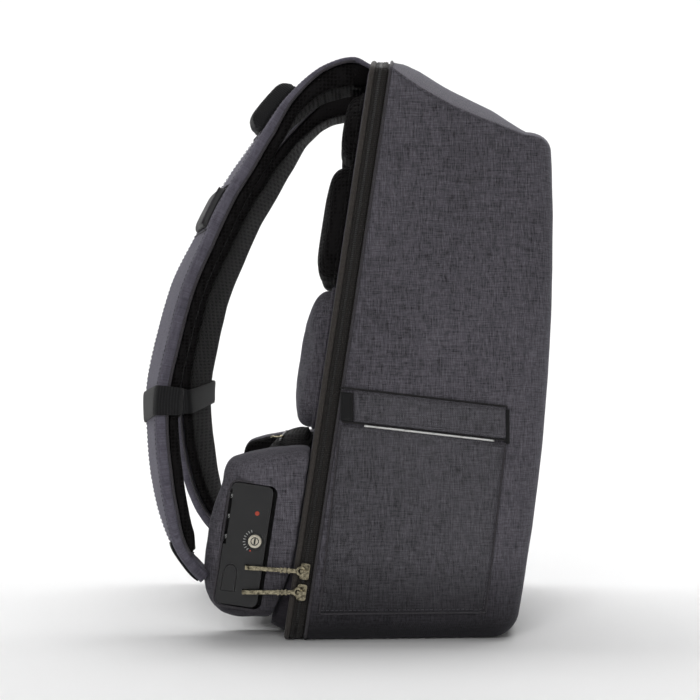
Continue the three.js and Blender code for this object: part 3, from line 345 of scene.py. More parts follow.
# Materials
class Nodes:
    """A small helper that adds and joins shader nodes."""

    def __init__(self, name):
        self.material = bpy.data.materials.new(name)
        self.material.use_nodes = True
        self.tree = self.material.node_tree
        self.shader = self.tree.nodes["Principled BSDF"]
        self.coord = self.tree.nodes.new("ShaderNodeTexCoord")

    def add(self, kind, inputs=None, **settings):
        node = self.tree.nodes.new(kind)
        for key, value in settings.items():
            setattr(node, key, value)
        for key, value in (inputs or {}).items():
            if isinstance(value, bpy.types.NodeSocket):
                self.tree.links.new(value, node.inputs[key])
            else:
                node.inputs[key].default_value = value
        return node

    def scaled(self, scale, source="Object"):
        node = self.add("ShaderNodeMapping", {"Vector": self.coord.outputs[source]})
        node.inputs["Scale"].default_value = scale
        return node.outputs[0]

    def noise(self, vector, detail=2.0, rough=0.5):
        inputs = {"Vector": vector, "Scale": 1.0, "Detail": detail, "Roughness": rough}
        return self.add("ShaderNodeTexNoise", inputs).outputs["Fac"]

    def math(self, operation, a, b=0.0):
        return self.add("ShaderNodeMath", {0: a, 1: b}, operation=operation).outputs[0]

    def times(self, a, b):
        return self.math("MULTIPLY", a, b)

    def plus(self, a, b):
        return self.math("ADD", a, b)

    def ramp(self, value, low, high, out_low=0.0, out_high=1.0):
        node = self.add(
            "ShaderNodeMapRange",
            {"Value": value, "From Min": low, "From Max": high, "To Min": out_low, "To Max": out_high},
        )
        return node.outputs["Result"]

    def mix(self, share, a, b):
        node = self.add("ShaderNodeMix", data_type="RGBA")
        for socket, value in ((node.inputs[0], share), (node.inputs[6], a), (node.inputs[7], b)):
            if isinstance(value, bpy.types.NodeSocket):
                self.tree.links.new(value, socket)
            else:
                socket.default_value = value
        return node.outputs[2]

    def bump(self, height, distance, strength=1.0, below=None):
        inputs = {"Height": height, "Distance": distance, "Strength": strength}
        if below is not None:
            inputs["Normal"] = below
        return self.add("ShaderNodeBump", inputs).outputs[0]

    def finish(self, color=None, rough=None, normal=None, **fixed):
        for value, key in ((color, "Base Color"), (rough, "Roughness"), (normal, "Normal")):
            if isinstance(value, bpy.types.NodeSocket):
                self.tree.links.new(value, self.shader.inputs[key])
            elif value is not None:
                self.shader.inputs[key].default_value = value
        for key, value in fixed.items():
            self.shader.inputs[key.replace("_", " ")].default_value = value
        return self.material


def linear(r, g, b):
    """A screen colour from 0 to 255 as linear values."""
    channel = lambda c: c / 12.92 if c <= 0.04045 else ((c + 0.055) / 1.055) ** 2.4
    return (channel(r / 255), channel(g / 255), channel(b / 255), 1)


def thread_pattern(n, source, fine, long):
    """Two sets of crossing thread streaks, as (upright, level) values from 0 to 1."""
    if source == "UV":
        upright = n.noise(n.scaled((fine, long, 1), "UV"), detail=3, rough=0.65)
        level = n.noise(n.scaled((long, fine, 1), "UV"), detail=3, rough=0.65)
        return upright, level
    upright = n.noise(n.scaled((fine, fine, long)), detail=3, rough=0.65)
    across = n.noise(n.scaled((long, long, fine)), detail=3, rough=0.65)
    lengthwise = n.noise(n.scaled((long, fine, fine)), detail=3, rough=0.65)
    facing = n.add("ShaderNodeSeparateXYZ", {0: n.coord.outputs["Normal"]})
    on_top = n.ramp(n.math("ABSOLUTE", facing.outputs[2]), 0.5, 0.8)
    level = n.add("ShaderNodeMix", {0: on_top, 2: across, 3: lengthwise}).outputs[0]
    return upright, level


def heathered(name, dark, light, source="Object", contrast=1.0, weave=0.85):
    """Woven melange cloth: crossing light and dark threads, a fine plain weave and a soft sheen."""
    n = Nodes(name)
    upright, level = thread_pattern(n, source, 1150, 85)
    fine_up, fine_level = thread_pattern(n, source, 2300, 260)
    mixed = n.plus(n.times(upright, 0.34), n.times(level, 0.24))
    for threads, share in ((fine_up, 0.24), (fine_level, 0.18)):
        mixed = n.plus(mixed, n.times(threads, share))
    cloud = n.noise(n.scaled((7, 7, 5)), detail=2)
    mixed = n.plus(mixed, n.times(n.math("SUBTRACT", cloud, 0.5), 0.12))
    margin = 0.115 / contrast
    share = n.ramp(mixed, 0.5 - margin, 0.5 + margin)
    # Painted shade: the cloth darkens to near black over its lowest few centimetres, where the bag's bottom
    # falls into shade.
    height_up = n.add("ShaderNodeSeparateXYZ", {0: n.coord.outputs["Object"]}).outputs[2]
    wear_and_painted_shade = n.ramp(n.plus(height_up, n.times(cloud, 0.01)), 0.008, 0.07, 0.92, 0)
    color = n.mix(wear_and_painted_shade, n.mix(share, dark, light), linear(9, 9, 10))
    pitch = math.pi / (weave * MM)
    x, y, z = n.add("ShaderNodeSeparateXYZ", {0: n.coord.outputs[source]}).outputs
    first, second = (x, y) if source == "UV" else (n.plus(x, y), z)
    a = n.math("SINE", n.times(first, pitch))
    b = n.math("SINE", n.times(second, pitch))
    over = n.times(a, b)
    height = n.plus(n.times(over, 0.5), n.times(upright, 0.9))
    soft = n.bump(n.noise(n.scaled((38, 38, 30)), detail=2), 0.0016, 0.35)
    normal = n.bump(height, 0.00022, 0.55, soft)
    rough = n.ramp(upright, 0.3, 0.7, 0.86, 0.96)
    return n.finish(
        color,
        rough,
        normal,
        Sheen_Weight=0.16,
        Sheen_Roughness=0.45,
        Sheen_Tint=(0.75, 0.75, 0.85, 1),
        Specular_IOR_Level=0.25,
    )


def spacer_mesh(name, base, rim, cell=3.0):
    """Black air mesh: rows of round dimples in a knitted face."""
    n = Nodes(name)
    scale = 1000 / cell
    lattice = n.add(
        "ShaderNodeTexVoronoi",
        {"Vector": n.coord.outputs["Object"], "Scale": scale, "Randomness": 0.12},
        feature="F1",
    )
    hole = n.ramp(lattice.outputs["Distance"], 0.22, 0.52)
    knit = n.noise(n.scaled((1500, 1500, 700)), detail=2)
    color = n.mix(hole, base, rim)
    color = n.mix(n.times(knit, 0.3), color, linear(27, 25, 25))
    height = n.plus(hole, n.times(knit, 0.25))
    normal = n.bump(height, 0.0009, 0.8)
    rough = n.ramp(hole, 0, 1, 0.95, 0.72)
    return n.finish(color, rough, normal, Sheen_Weight=0.02, Sheen_Roughness=0.5, Specular_IOR_Level=0.12)


def ribbed(name, dark, light, pitch=1.3, source="UV", axis=1, rough=0.75, depth=0.00035):
    """Webbing or tape with ribs across its length, and a fine thread grain."""
    n = Nodes(name)
    parts = n.add("ShaderNodeSeparateXYZ", {0: n.coord.outputs[source]})
    rib = n.math("SINE", n.times(parts.outputs[axis], 2 * math.pi / (pitch * MM)))
    grain = n.noise(n.scaled((1400, 1400, 1400), source), detail=3)
    share = n.plus(n.times(rib, 0.22), grain)
    color = n.mix(n.ramp(share, 0.25, 0.8), dark, light)
    height = n.plus(n.times(rib, 0.5), n.times(grain, 0.6))
    normal = n.bump(height, depth, 0.7)
    wear_and_painted_shade = n.ramp(grain, 0.3, 0.7, rough, rough + 0.15)
    return n.finish(color, wear_and_painted_shade, normal, Sheen_Weight=0.1, Specular_IOR_Level=0.3)


def moulded(name, color, rough=0.38, grain=0.00006):
    """Satin moulded plastic with a fine spark-eroded grain and slight smudges."""
    n = Nodes(name)
    fine = n.noise(n.scaled((2600, 2600, 2600)), detail=2)
    smudge = n.noise(n.scaled((55, 55, 55)), detail=3)
    shade = n.mix(n.ramp(smudge, 0.3, 0.75), color, tuple(c * 1.35 for c in color[:3]) + (1,))
    wear_and_painted_shade = n.ramp(smudge, 0.3, 0.7, rough - 0.06, rough + 0.08)
    return n.finish(shade, wear_and_painted_shade, n.bump(fine, grain, 0.6), Specular_IOR_Level=0.5)


def cast_metal(name, color, dark, rough=0.3, patch=110):
    """Plated zinc with darker patches and faint scratches; the patches are tarnish, and on the pulls their
    fine dark speckle is painted reflection.
    """
    n = Nodes(name)
    tarnish_and_painted_reflection = n.noise(n.scaled((patch, patch, patch)), detail=3, rough=0.55)
    scratch = n.noise(n.scaled((300, 4000, 4000)), detail=2)
    shade = n.mix(n.ramp(tarnish_and_painted_reflection, 0.42, 0.72), color, dark)
    rough_value = n.ramp(n.plus(scratch, tarnish_and_painted_reflection), 0.7, 1.3, rough - 0.08, rough + 0.18)
    return n.finish(shade, rough_value, n.bump(scratch, 0.00003, 0.4), Metallic=1.0)


def reflective_tape(name):
    """Retroreflective tape: bright grey with a fine honeycomb of cells."""
    n = Nodes(name)
    cells = n.add(
        "ShaderNodeTexVoronoi",
        {"Vector": n.coord.outputs["Object"], "Scale": 900, "Randomness": 0.0},
        feature="DISTANCE_TO_EDGE",
    ).outputs["Distance"]
    line = n.ramp(cells, 0.02, 0.09)
    color = n.mix(line, linear(196, 196, 194), linear(240, 240, 238))
    return n.finish(color, 0.34, n.bump(line, 0.00008, 0.4), Specular_IOR_Level=0.6, Coat_Weight=0.25)


GREY = heathered("grey_cloth", linear(45, 43, 47), linear(110, 107, 115), contrast=1.15)
POCKET_GREY = heathered("pocket_cloth", linear(43, 42, 45), linear(103, 101, 107), contrast=1.15)
STRAP_GREY = heathered("strap_cloth", linear(62, 59, 68), linear(112, 109, 121), "UV", contrast=0.8)
PANEL_GREY = heathered("panel_cloth", linear(40, 36, 42), linear(74, 69, 78), contrast=0.8)
MESH = spacer_mesh("black_mesh", linear(3, 2, 2), linear(15, 13, 14))
TAPE = ribbed("zip_cloth", linear(20, 18, 17), linear(45, 42, 39), 1.4, "Object", 2)
COIL = moulded("zip_coil", linear(24, 22, 21), 0.42)
PIPING = ribbed("piping", linear(34, 31, 29), linear(78, 73, 69), 0.9, "Object", 2, 0.7, 0.0002)
EDGE_PIPING = ribbed("edge_piping", linear(44, 42, 45), linear(82, 79, 84), 0.8, "Object", 2, 0.75, 0.0002)
WEBBING = ribbed("black_webbing", linear(9, 9, 10), linear(30, 30, 32), 1.5)
ELASTIC = ribbed("black_elastic", linear(10, 10, 11), linear(34, 34, 36), 1.1, "UV", 0)
THREAD = ribbed("thread", linear(52, 50, 55), linear(98, 95, 102), 0.4, "Object", 0, 0.6, 0.0001)
DARK_THREAD = ribbed("dark_thread", linear(16, 15, 16), linear(40, 38, 40), 0.4, "Object", 0, 0.6, 0.0001)
REFLECTIVE = reflective_tape("reflective")
BLACK = moulded("black_plastic", linear(24, 24, 25))
GLOSS_BLACK = moulded("black_gloss", linear(13, 13, 14), 0.2, 0.00002)
RUBBER = moulded("black_rubber", linear(26, 25, 27), 0.55, 0.00012)
KEY_METAL = cast_metal("key_metal", linear(214, 208, 192), linear(168, 160, 142), 0.26)
# the pulls' fine bright and dark speckle is painted reflection: it stands in for their highlights and dark
# reflections, over some real tarnish
PULL_METAL = cast_metal("pull_metal", linear(166, 158, 134), linear(38, 33, 26), 0.26, 420)
WHITE_MARK = moulded("white_mark", linear(176, 178, 176), 0.5, 0.00003)
RED_MARK = moulded("red_mark", linear(168, 60, 38), 0.45, 0.00003)


# Body cloth
FRONT_SHRINK = (0.95, 0.88, 0.8, 0.7, 0.6, 0.5, 0.4, 0.3, 0.2, 0.1)  # rings that close the front
DEPTH_RINGS = 29
FRONT_RINGS = 8


def body_surface():
    """Rings over the sides, round the front edge and over the front."""
    rings = []
    for d in spread(0, 1, DEPTH_RINGS):
        rings.append(body_loop(d, 0, lambda z, a: body_x(z, d) + front_swell(a, d)))
    for i in range(1, FRONT_RINGS + 1):
        turn = rad(90 * i / FRONT_RINGS)
        sunk = EDGE_ROUND * (1 - math.sin(turn))
        drawn = EDGE_ROUND * (1 - math.cos(turn))
        rings.append(body_loop(1, drawn, lambda z, a: front_x(z) - sunk + front_swell(a, 1)))
    rim = rings[-1]
    top, foot = max(p.z for p in rim), min(p.z for p in rim)
    width = max(p.y for p in rim)
    for share in FRONT_SHRINK:
        ring = []
        for p in rim:
            y, z = p.y * share, lerp((top + foot) / 2, p.z, share)
            ring.append(Vector((front_x(z) + front_swell(y / width, 1), y, z)))
        rings.append(ring)
    return rings


def wave(p, size, seed=0.0):
    """Smooth noise at a point, with waves of about size millimetres."""
    return noise.noise(Vector((p.x / size + seed, p.y / size, p.z / size)))


def displace(obj, shift):
    """Moves each point along its normal by shift(point) millimetres."""
    normals = [v.normal.copy() for v in obj.data.vertices]
    for v, normal in zip(obj.data.vertices, normals):
        v.co += normal * shift(v.co / MM) * MM
    obj.data.update()


def crumple(obj, amounts):
    """Soft waves in cloth: amounts holds (height mm, wavelength mm, seed)."""
    displace(obj, lambda p: sum(height * wave(p, size, seed) for height, size, seed in amounts))


SHELL_CLOTH = 1.8


def make_body():
    rings = body_surface()
    points, faces = band(rings, caps=False)
    start = len(rings[0]) * (len(rings) - 1)
    faces.append(tuple(range(start, start + len(rings[0]))))
    body = piece("body_cloth", points, faces, GREY, "grey_cloth", ["main_shell"])

    def slack(p):
        near_zip = smooth(26, 0, p.x - zip_x(p.z))
        flat = smooth(0, 25, p.z) * smooth(0, 14, p.x - zip_x(p.z))
        pucker = 0.28 * wave(Vector((p.x / 3, p.y / 3, p.z)), 5, 3) * near_zip
        return (1.1 * wave(p, 85) + 0.35 * wave(p, 24, 7) + pucker) * flat

    displace(body, slack)
    wall = body.modifiers.new("wall", "SOLIDIFY")
    wall.thickness = SHELL_CLOTH * MM
    wall.offset = -1


CREASE_SUNK = 0.3
CORNER_DROP = 12


def crease_path(side):
    """The seam between a side and the crowned top, from the zip to the front corner."""
    path = []
    for d in spread(0, 1, 46):
        seam, _ = top_at(d)
        x = body_x(seam, d) + front_swell(1, d)
        path.append(Vector((x, side * (half_width(seam, d) - SEAM_PROUD), seam - CREASE_SUNK)))
    for degrees in (12, 24, 36, 48, 60):
        turn = rad(degrees)
        seam = top_at(1)[0] - CORNER_DROP * (1 - math.cos(turn))
        drawn = EDGE_ROUND * (1 - math.cos(turn))
        x = front_x(seam) - EDGE_ROUND * (1 - math.sin(turn))
        path.append(Vector((x, side * (half_width(seam, 1) - drawn - SEAM_PROUD), seam - CREASE_SUNK)))
    return path


def make_body_seams():
    for side, name in ((-1, "left"), (1, "right")):
        path = crease_path(side)
        piece(f"crease_{name}", *tube(path, 1.15), GREY, "grey_cloth")
        out = Vector((0, side, 0))
        lower = [p + Vector((0, side * 0.15, -3.4)) for p in path[:-3]]
        row = stitches(lower, lambda p: out, 3.2, 2.1, 0.26)
        piece(f"crease_stitch_{name}", *row, THREAD, "grey_cloth")
        # a dark tube at the pinched end of the crease at the front corner, painted as the shade in the pinch
        end = path[-1]
        tab = [end + Vector((t * 1.2, -side * t * 0.5, -t * 0.9)) for t in (-4, -2, 0, 1.5, 3)]
        piece(f"corner_pinch_shade_{name}", *tube(tab, [0.6, 1.5, 1.9, 1.3, 0.4]), DARK_THREAD, "grey_cloth")


# Zip band
def band_loop(behind, inset):
    """A loop round the body, behind the zip line and inside the body's surface."""
    return body_loop(0, inset, lambda z, a: zip_x(z) - behind)


# (behind, inset) round the two tapes and the coil between them
ZIP_SECTION = [
    (0.3, 3.0), (0.3, 2.5), (1.7, 2.5), (1.9, 0.8), (2.4, 0.5), (5.5, 0.5), (5.9, 0.9), (6.1, 1.6),
    (8.0, 1.6), (8.2, 0.9), (8.6, 0.5), (10.3, 0.55), (10.8, 0.9), (10.8, 3.0),
]
TOOTH = (1.0, 0.42, 0.55)  # half its size across, along and outwards
TOOTH_PITCH = 1.45
BOX_FACES = [(0, 3, 2, 1), (4, 5, 6, 7), (0, 1, 5, 4), (1, 2, 6, 5), (2, 3, 7, 6), (3, 0, 4, 7)]


def tooth(p, along):
    across = Vector((1, 0, 0)) - along * along.x
    across.normalize()
    up = along.cross(across)
    wide, long, tall = (axis * half for axis, half in zip((across, along, up), TOOTH))
    square = ((-1, -1), (1, -1), (1, 1), (-1, 1))
    return [p + wide * a + long * b + tall * c for c in (-1, 1) for a, b in square], BOX_FACES


def make_zip():
    loops = [band_loop(*place) for place in ZIP_SECTION]
    piece("zip_band", *band(loops, closed_along=True), TAPE, "zip_cloth", ["zip_tape"], angle=40)
    middle = band_loop(7.05, 1.35)
    teeth = [tooth(p, along) for p, along in resample(middle + middle[:1], TOOTH_PITCH)]
    piece("zip_teeth", *combine(*teeth), COIL, "zip_cloth", angle=30)
    edge = band_loop(-0.9, 0.35)
    piece("edge_piping", *tube(edge, 1.25, closed=True), EDGE_PIPING, "grey_cloth")
    bead = band_loop(13.2, 2.15)
    piece("back_piping_bead", *tube(bead, 2.3, 12, closed=True), PIPING, "piping", ["back_piping"])
    for behind, name in ((3.4, "front"), (9.6, "back")):
        row = band_loop(behind, 0.45)
        out = lambda p: Vector((0, p.y, 0)) if 25 < p.z < 425 else Vector((0, p.y * 0.2, p.z - 200))
        thread = stitches(row + row[:1], out, 2.9, 2.0, 0.24)
        piece(f"zip_stitch_{name}", *thread, DARK_THREAD, "zip_cloth")


# Back panel
def back_face_x(y, z):
    """The face of the back panel, flat at its edges and out over the bolster."""
    ends = smooth(146, 131, abs(y)) * smooth(6, 14, z)
    return zip_x(z) - PANEL_BACK - at_row(BOLSTER_ROWS, z)[0] * ends


PANEL_RIM = [(3.1, 6.8), (5, 4.8), (13, 4.8), (15, 6.3), (15.9, 8.8), (PANEL_BACK, 11.8)]  # behind, inset
PANEL_SHRINK = (0.97, 0.94, 0.9, 0.85, 0.8, 0.72, 0.64, 0.55, 0.45, 0.35, 0.22, 0.1)
PANEL_MIDDLE = 225


def make_back_panel():
    rings = []
    for behind, inset in PANEL_RIM:
        share = smooth(13, PANEL_BACK, behind)
        ring = band_loop(behind, inset)
        rings.append([Vector((lerp(p.x, back_face_x(p.y, p.z), share), p.y, p.z)) for p in ring])
    outline = rings[-1]
    for share in PANEL_SHRINK:
        places = [(p.y * share, lerp(PANEL_MIDDLE, p.z, share)) for p in outline]
        rings.append([Vector((back_face_x(y, z), y, z)) for y, z in places])
    panel = piece("back_panel_cloth", *band(rings), PANEL_GREY, "grey_cloth", ["back_panel"])


# Soft pieces from their solids
def weld(obj):
    edit_mesh(obj, lambda mesh: bmesh.ops.remove_doubles(mesh, verts=mesh.verts, dist=1e-5))


def bake(obj):
    """Applies an object's modifiers to its mesh."""
    depsgraph = bpy.context.evaluated_depsgraph_get()
    mesh = bpy.data.meshes.new_from_object(obj.evaluated_get(depsgraph), depsgraph=depsgraph)
    obj.modifiers.clear()
    obj.data = mesh


def relax(obj, rounds):
    smoother = obj.modifiers.new("smooth", "SMOOTH")
    smoother.factor = 0.5
    smoother.iterations = rounds
    bake(obj)


CLOTH_FRAMES = 20
PRESSURE = 4.0


def inflate(obj, cap, held):
    """Cloth pressure swells the padding; held says which points stay, and cap is in millimetres."""
    before = [v.co.copy() for v in obj.data.vertices]
    pins = obj.vertex_groups.new(name="held")
    pins.add([v.index for v in obj.data.vertices if held(v.co / MM)], 1.0, "REPLACE")
    cloth = obj.modifiers.new("cloth", "CLOTH")
    cloth.settings.vertex_group_mass = "held"
    cloth.settings.quality = 5
    cloth.settings.use_pressure = True
    cloth.settings.uniform_pressure_force = PRESSURE
    cloth.settings.effector_weights.gravity = 0
    cloth.point_cache.frame_start = 1
    cloth.point_cache.frame_end = CLOTH_FRAMES
    for step in range(1, CLOTH_FRAMES + 1):
        bpy.context.scene.frame_set(step)
    bake(obj)
    bpy.context.scene.frame_set(1)
    for v, start in zip(obj.data.vertices, before):
        moved = v.co - start
        limit = cap * MM
        if moved.length > limit:
            moved *= limit / moved.length
        v.co = start + moved
    obj.vertex_groups.clear()


def soft_copy(node, name, voxel=3.0, rounds=3, cap=0.0, held=None, shrink=0.0):
    """A finer, softer copy of a solid. With a cap, cloth pressure swells it by up to cap."""
    obj = link(bpy.data.objects.new(name, NODES[node].data.copy()))
    weld(obj)
    remesh = obj.modifiers.new("remesh", "REMESH")
    remesh.mode = "VOXEL"
    remesh.voxel_size = voxel * MM
    bake(obj)
    relax(obj, rounds)
    if shrink:
        displace(obj, lambda p: 0 if held(p) else -shrink)
    if cap:
        inflate(obj, cap, held)
    finer = obj.modifiers.new("finer", "SUBSURF")
    finer.levels = finer.render_levels = 1
    bake(obj)
    return obj


PAD_CORNER = 24
BEAD_INSET = 1.2
BEAD_RADIUS = 1.5


def pad_bead(name, low, high, finish, slot):
    """A rolled seam where a pad meets the back panel. low and high are the pad's corners in metres."""
    (_, y_low, z_low), (_, y_high, z_high) = (tuple(v / MM for v in corner) for corner in (low, high))
    sides = (y_low + BEAD_INSET, y_high - BEAD_INSET, z_low + BEAD_INSET, z_high - BEAD_INSET)
    outline = round_rectangle(*sides, PAD_CORNER - BEAD_INSET, 10)
    path = [Vector((back_face_x(y, z) - 1.6, y, z)) for y, z in outline]
    piece(name, *tube(path, BEAD_RADIUS, closed=True), finish, slot)


def make_pads():
    near_panel = lambda p: p.x > back_face_x(p.y, p.z) - 4
    for node, cap, finish, slot in (
        ("upper_pad_left", 3, MESH, "black_mesh"),
        ("upper_pad_right", 3, MESH, "black_mesh"),
        ("middle_pad_left", 3.5, MESH, "black_mesh"),
        ("middle_pad_right", 3.5, MESH, "black_mesh"),
        ("lower_back_pad", 4, GREY, "grey_cloth"),
    ):
        pad = soft_copy(node, f"{node}_cloth", 3.6, 2, cap, near_panel, shrink=1.5)
        crumple(pad, [(0.5, 26, 2)])
        dress(pad, finish, [node])
        pad_bead(f"{node}_bead", *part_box(node), finish, slot)


def make_cushion():
    held = lambda p: p.x > back_face_x(p.y, p.z) - 6 or abs(p.y) > 84
    raised = lambda p: 6 * smooth(95, 140, p.z) * smooth(80, 40, abs(p.y))
    cushion = soft_copy("lumbar_cushion", "lumbar_cushion_cloth", 4.5, 3, 6, held, shrink=2)
    crumple(cushion, [(0.6, 30, 5)])
    displace(cushion, lambda p: 0 if held(p) else raised(p))
    dress(cushion, MESH, ["lumbar_cushion"])


# Lock frame
LOCK_TILT = math.atan(66 / BACK_SEAM)
LOCK_AT = Vector((-119.555, -143, 73.3))
LOCK = Matrix.Translation(LOCK_AT) @ Matrix.Rotation(LOCK_TILT, 4, "Y")
DIAL_X, DIAL_SINK = -11.5, 6.1
DIAL_HEIGHTS = (35, 19.5, 4)
KEY_X, KEY_Z = 7.4, 3.8
# (left, right, low, high), corner and depth of the two recesses
PLATE_RECESS = ((-16.5, 19.2, -47.2, 46.8), 6, 15.6)
DIAL_RECESS = ((-18.8, -12, -2, 41), 2, 13.4)
LIP = (-17.2, 20.0, -47.9, 47.5)


def prism(outline, y_low, y_high):
    """A plate in the lock's frame, from an outline of (x, z) pairs."""
    return band([[LOCK @ Vector((x, y, z)) for x, z in outline] for y in (y_low, y_high)])


def clear_of_lock(p):
    """0 beside the lock and 1 well away from it."""
    beside = smooth(12, 26, abs(p.x - LOCK_AT.x))
    above = smooth(42, 54, abs(p.z - LOCK_AT.z))
    return min(beside + above, 1)


def hollow(wing, outline, depth):
    """Cuts a recess for the lock, as deep as depth; its walls take the black rubber finish, which paints the
    shade in the recess.
    """
    points, faces = prism(outline, -7, depth)
    mesh = bpy.data.meshes.new("cutter")
    mesh.from_pydata([p * MM for p in points], [], faces)
    mesh.materials.append(RUBBER)
    cutter = link(bpy.data.objects.new("cutter", mesh))
    fix_normals(cutter)
    recess = wing.modifiers.new("recess", "BOOLEAN")
    recess.operation = "DIFFERENCE"
    recess.solver = "EXACT"
    recess.material_mode = "TRANSFER"
    recess.object = cutter
    bake(wing)
    bpy.data.objects.remove(cutter)


def make_wings():
    right = soft_copy("wing_right", "wing_right_cloth")
    left = link(bpy.data.objects.new("wing_left_cloth", right.data.copy()))
    for v in left.data.vertices:
        v.co.y = -v.co.y
    left.data.flip_normals()
    for wing in (left, right):
        displace(wing, lambda p: (0.7 * wave(p, 34, 4) + 0.3 * wave(p, 12, 9)) * clear_of_lock(p))
    dress(left, GREY, ["wing_left"])
    # black rubber for the recess walls, which paints the shade in the recess
    left.data.materials.append(RUBBER)
    for outline, corner, depth in (PLATE_RECESS, DIAL_RECESS):
        hollow(left, round_rectangle(*outline, corner), depth)
    dress(right, GREY, ["wing_right"])
    for side in ("left", "right"):
        lining = soft_copy(f"wing_lining_{side}", f"wing_lining_{side}_cloth")
        dress(lining, MESH, [f"wing_lining_{side}"])
    # the turned cloth lip round the lock
    path = [LOCK @ Vector((x, 0.7, z)) for x, z in round_rectangle(*LIP, 6.4, 8)]
    lip = tube(path, 0.85, closed=True, normals=[Vector((0, 1, 0))] * len(path))
    piece("lock_lip", *lip, EDGE_PIPING, "grey_cloth")


# Straps
WING_REACH, STRAP_REACH, STRAP_PAD, STRAP_ROOT_PAD = 71, 128, 9, 19
STRAP_FOOT_Z, STRAP_TOP_Z = 46, 448
STRAP_TOP_Y, STRAP_FOOT_Y = 66, 120
STRAP_WIDTH, STRAP_TWIST = 62, 17
STRAP_CLOTH = (4, 9)
# reach inside and outside the wing, height, spread, twist, body, width
STRAP_ROWS = [
    (0, 0, 0.992, 0, 0, 0, 0.86),
    (0.19, 0, 1.005, 0.01, 0, 0, 0.9),
    (0.52, 0, 0.985, 0.04, 0, 0, 0.98),
    (0.86, 0, 0.922, 0.09, 0.1, 0.4, 1),
    (1, 0.08, 0.864, 0.14, 0.5, 0.9, 1),
    (1, 0.31, 0.797, 0.2, 0.66, 1, 1),
    (1, 0.5, 0.738, 0.27, 0.7, 1, 1),
    (1, 0.7, 0.652, 0.38, 0.8, 1, 1),
    (1, 0.88, 0.565, 0.5, 0.95, 1, 1),
    (1, 0.97, 0.45, 0.66, 1, 1, 1),
    (1, 0.99, 0.36, 0.77, 0.95, 1, 1),
    (1, 0.9, 0.278, 0.85, 0.85, 1, 1),
    (1, 0.76, 0.2, 0.92, 0.9, 1, 0.96),
    (1, 0.56, 0.119, 0.97, 0.85, 1, 0.84),
    (1, 0.36, 0.062, 0.99, 0.6, 1, 0.7),
    (1, 0.12, 0.024, 1, 0.3, 1, 0.6),
    (0.94, 0, 0, 1, 0.2, 1, 0.55),
]


def strap_station(row):
    inner, outer, height, side = row[:4]
    z = lerp(STRAP_FOOT_Z, STRAP_TOP_Z, height)
    reach = WING_REACH * inner + (STRAP_REACH - WING_REACH) * outer
    return Vector((zip_x(z) - PANEL_BACK - reach, LEFT * lerp(STRAP_TOP_Y, STRAP_FOOT_Y, side), z))


STRAP_POINTS = [strap_station(row) for row in STRAP_ROWS]


def strap_point(t):
    """Centripetal Catmull-Rom through the stations."""
    pts = STRAP_POINTS
    last = len(pts) - 1
    place = min(max(t, 0), 1) * last
    i = min(int(place), last - 1)
    w = place - i
    p1, p2 = pts[i], pts[i + 1]
    p0 = pts[i - 1] if i > 0 else p1 * 2 - p2
    p3 = pts[i + 2] if i + 2 <= last else p2 * 2 - p1
    d0, d1, d2 = [math.sqrt((b - a).length) for a, b in ((p0, p1), (p1, p2), (p2, p3))]
    t1 = ((p1 - p0) / d0 - (p2 - p0) / (d0 + d1) + (p2 - p1) / d1) * d1
    t2 = ((p2 - p1) / d1 - (p3 - p1) / (d1 + d2) + (p3 - p2) / d2) * d1
    c2 = p1 * -3 + p2 * 3 - t1 * 2 - t2
    c3 = p1 * 2 - p2 * 2 + t1 + t2
    return p1 + t1 * w + c2 * w * w + c3 * w * w * w


STRAP_PARTS = 200


def strap_lengths():
    """The length along the strap up to each of its parts."""
    lengths = [0.0]
    for i in range(STRAP_PARTS):
        part = strap_point((i + 1) / STRAP_PARTS) - strap_point(i / STRAP_PARTS)
        lengths.append(lengths[-1] + part.length)
    return lengths


STRAP_LENGTHS = strap_lengths()
STRAP_LENGTH = STRAP_LENGTHS[-1]


def strap_t(share):
    """The curve's own place at a share of the strap's length."""
    target = min(max(share, 0), 1) * STRAP_LENGTH
    for i in range(STRAP_PARTS):
        a, b = STRAP_LENGTHS[i : i + 2]
        if b >= target:
            return (i + (target - a) / (b - a)) / STRAP_PARTS
    return 1.0


STRAP_TABLE = [(i / (len(STRAP_ROWS) - 1), *row[4:]) for i, row in enumerate(STRAP_ROWS)]


class Section:
    """Place, directions and size of the strap at a share of its length."""

    def __init__(self, share):
        t = strap_t(share)
        self.middle = strap_point(t)
        self.along = (strap_point(t + 1e-4) - strap_point(t - 1e-4)).normalized()
        twist, body, width = at_row(STRAP_TABLE, t)
        sideways = Vector((0, LEFT, 0))
        sideways = (sideways - self.along * self.along.dot(sideways)).normalized()
        out = self.along.cross(sideways).normalized()
        turn = rad(STRAP_TWIST * twist)
        self.side = sideways * math.cos(turn) - out * math.sin(turn)
        self.face = out * math.cos(turn) + sideways * math.sin(turn)
        self.cloth = lerp(*STRAP_CLOTH, body)
        self.width = STRAP_WIDTH * width
        self.length = share * STRAP_LENGTH

    def at(self, across, up):
        return self.middle + self.side * across + self.face * up

    def loop(self, outline):
        """Points and UVs of an outline of (across, up) pairs."""
        return [self.at(a, b) for a, b in outline], [(a * MM, self.length * MM) for a, _ in outline]


SLAB_STEPS = 9


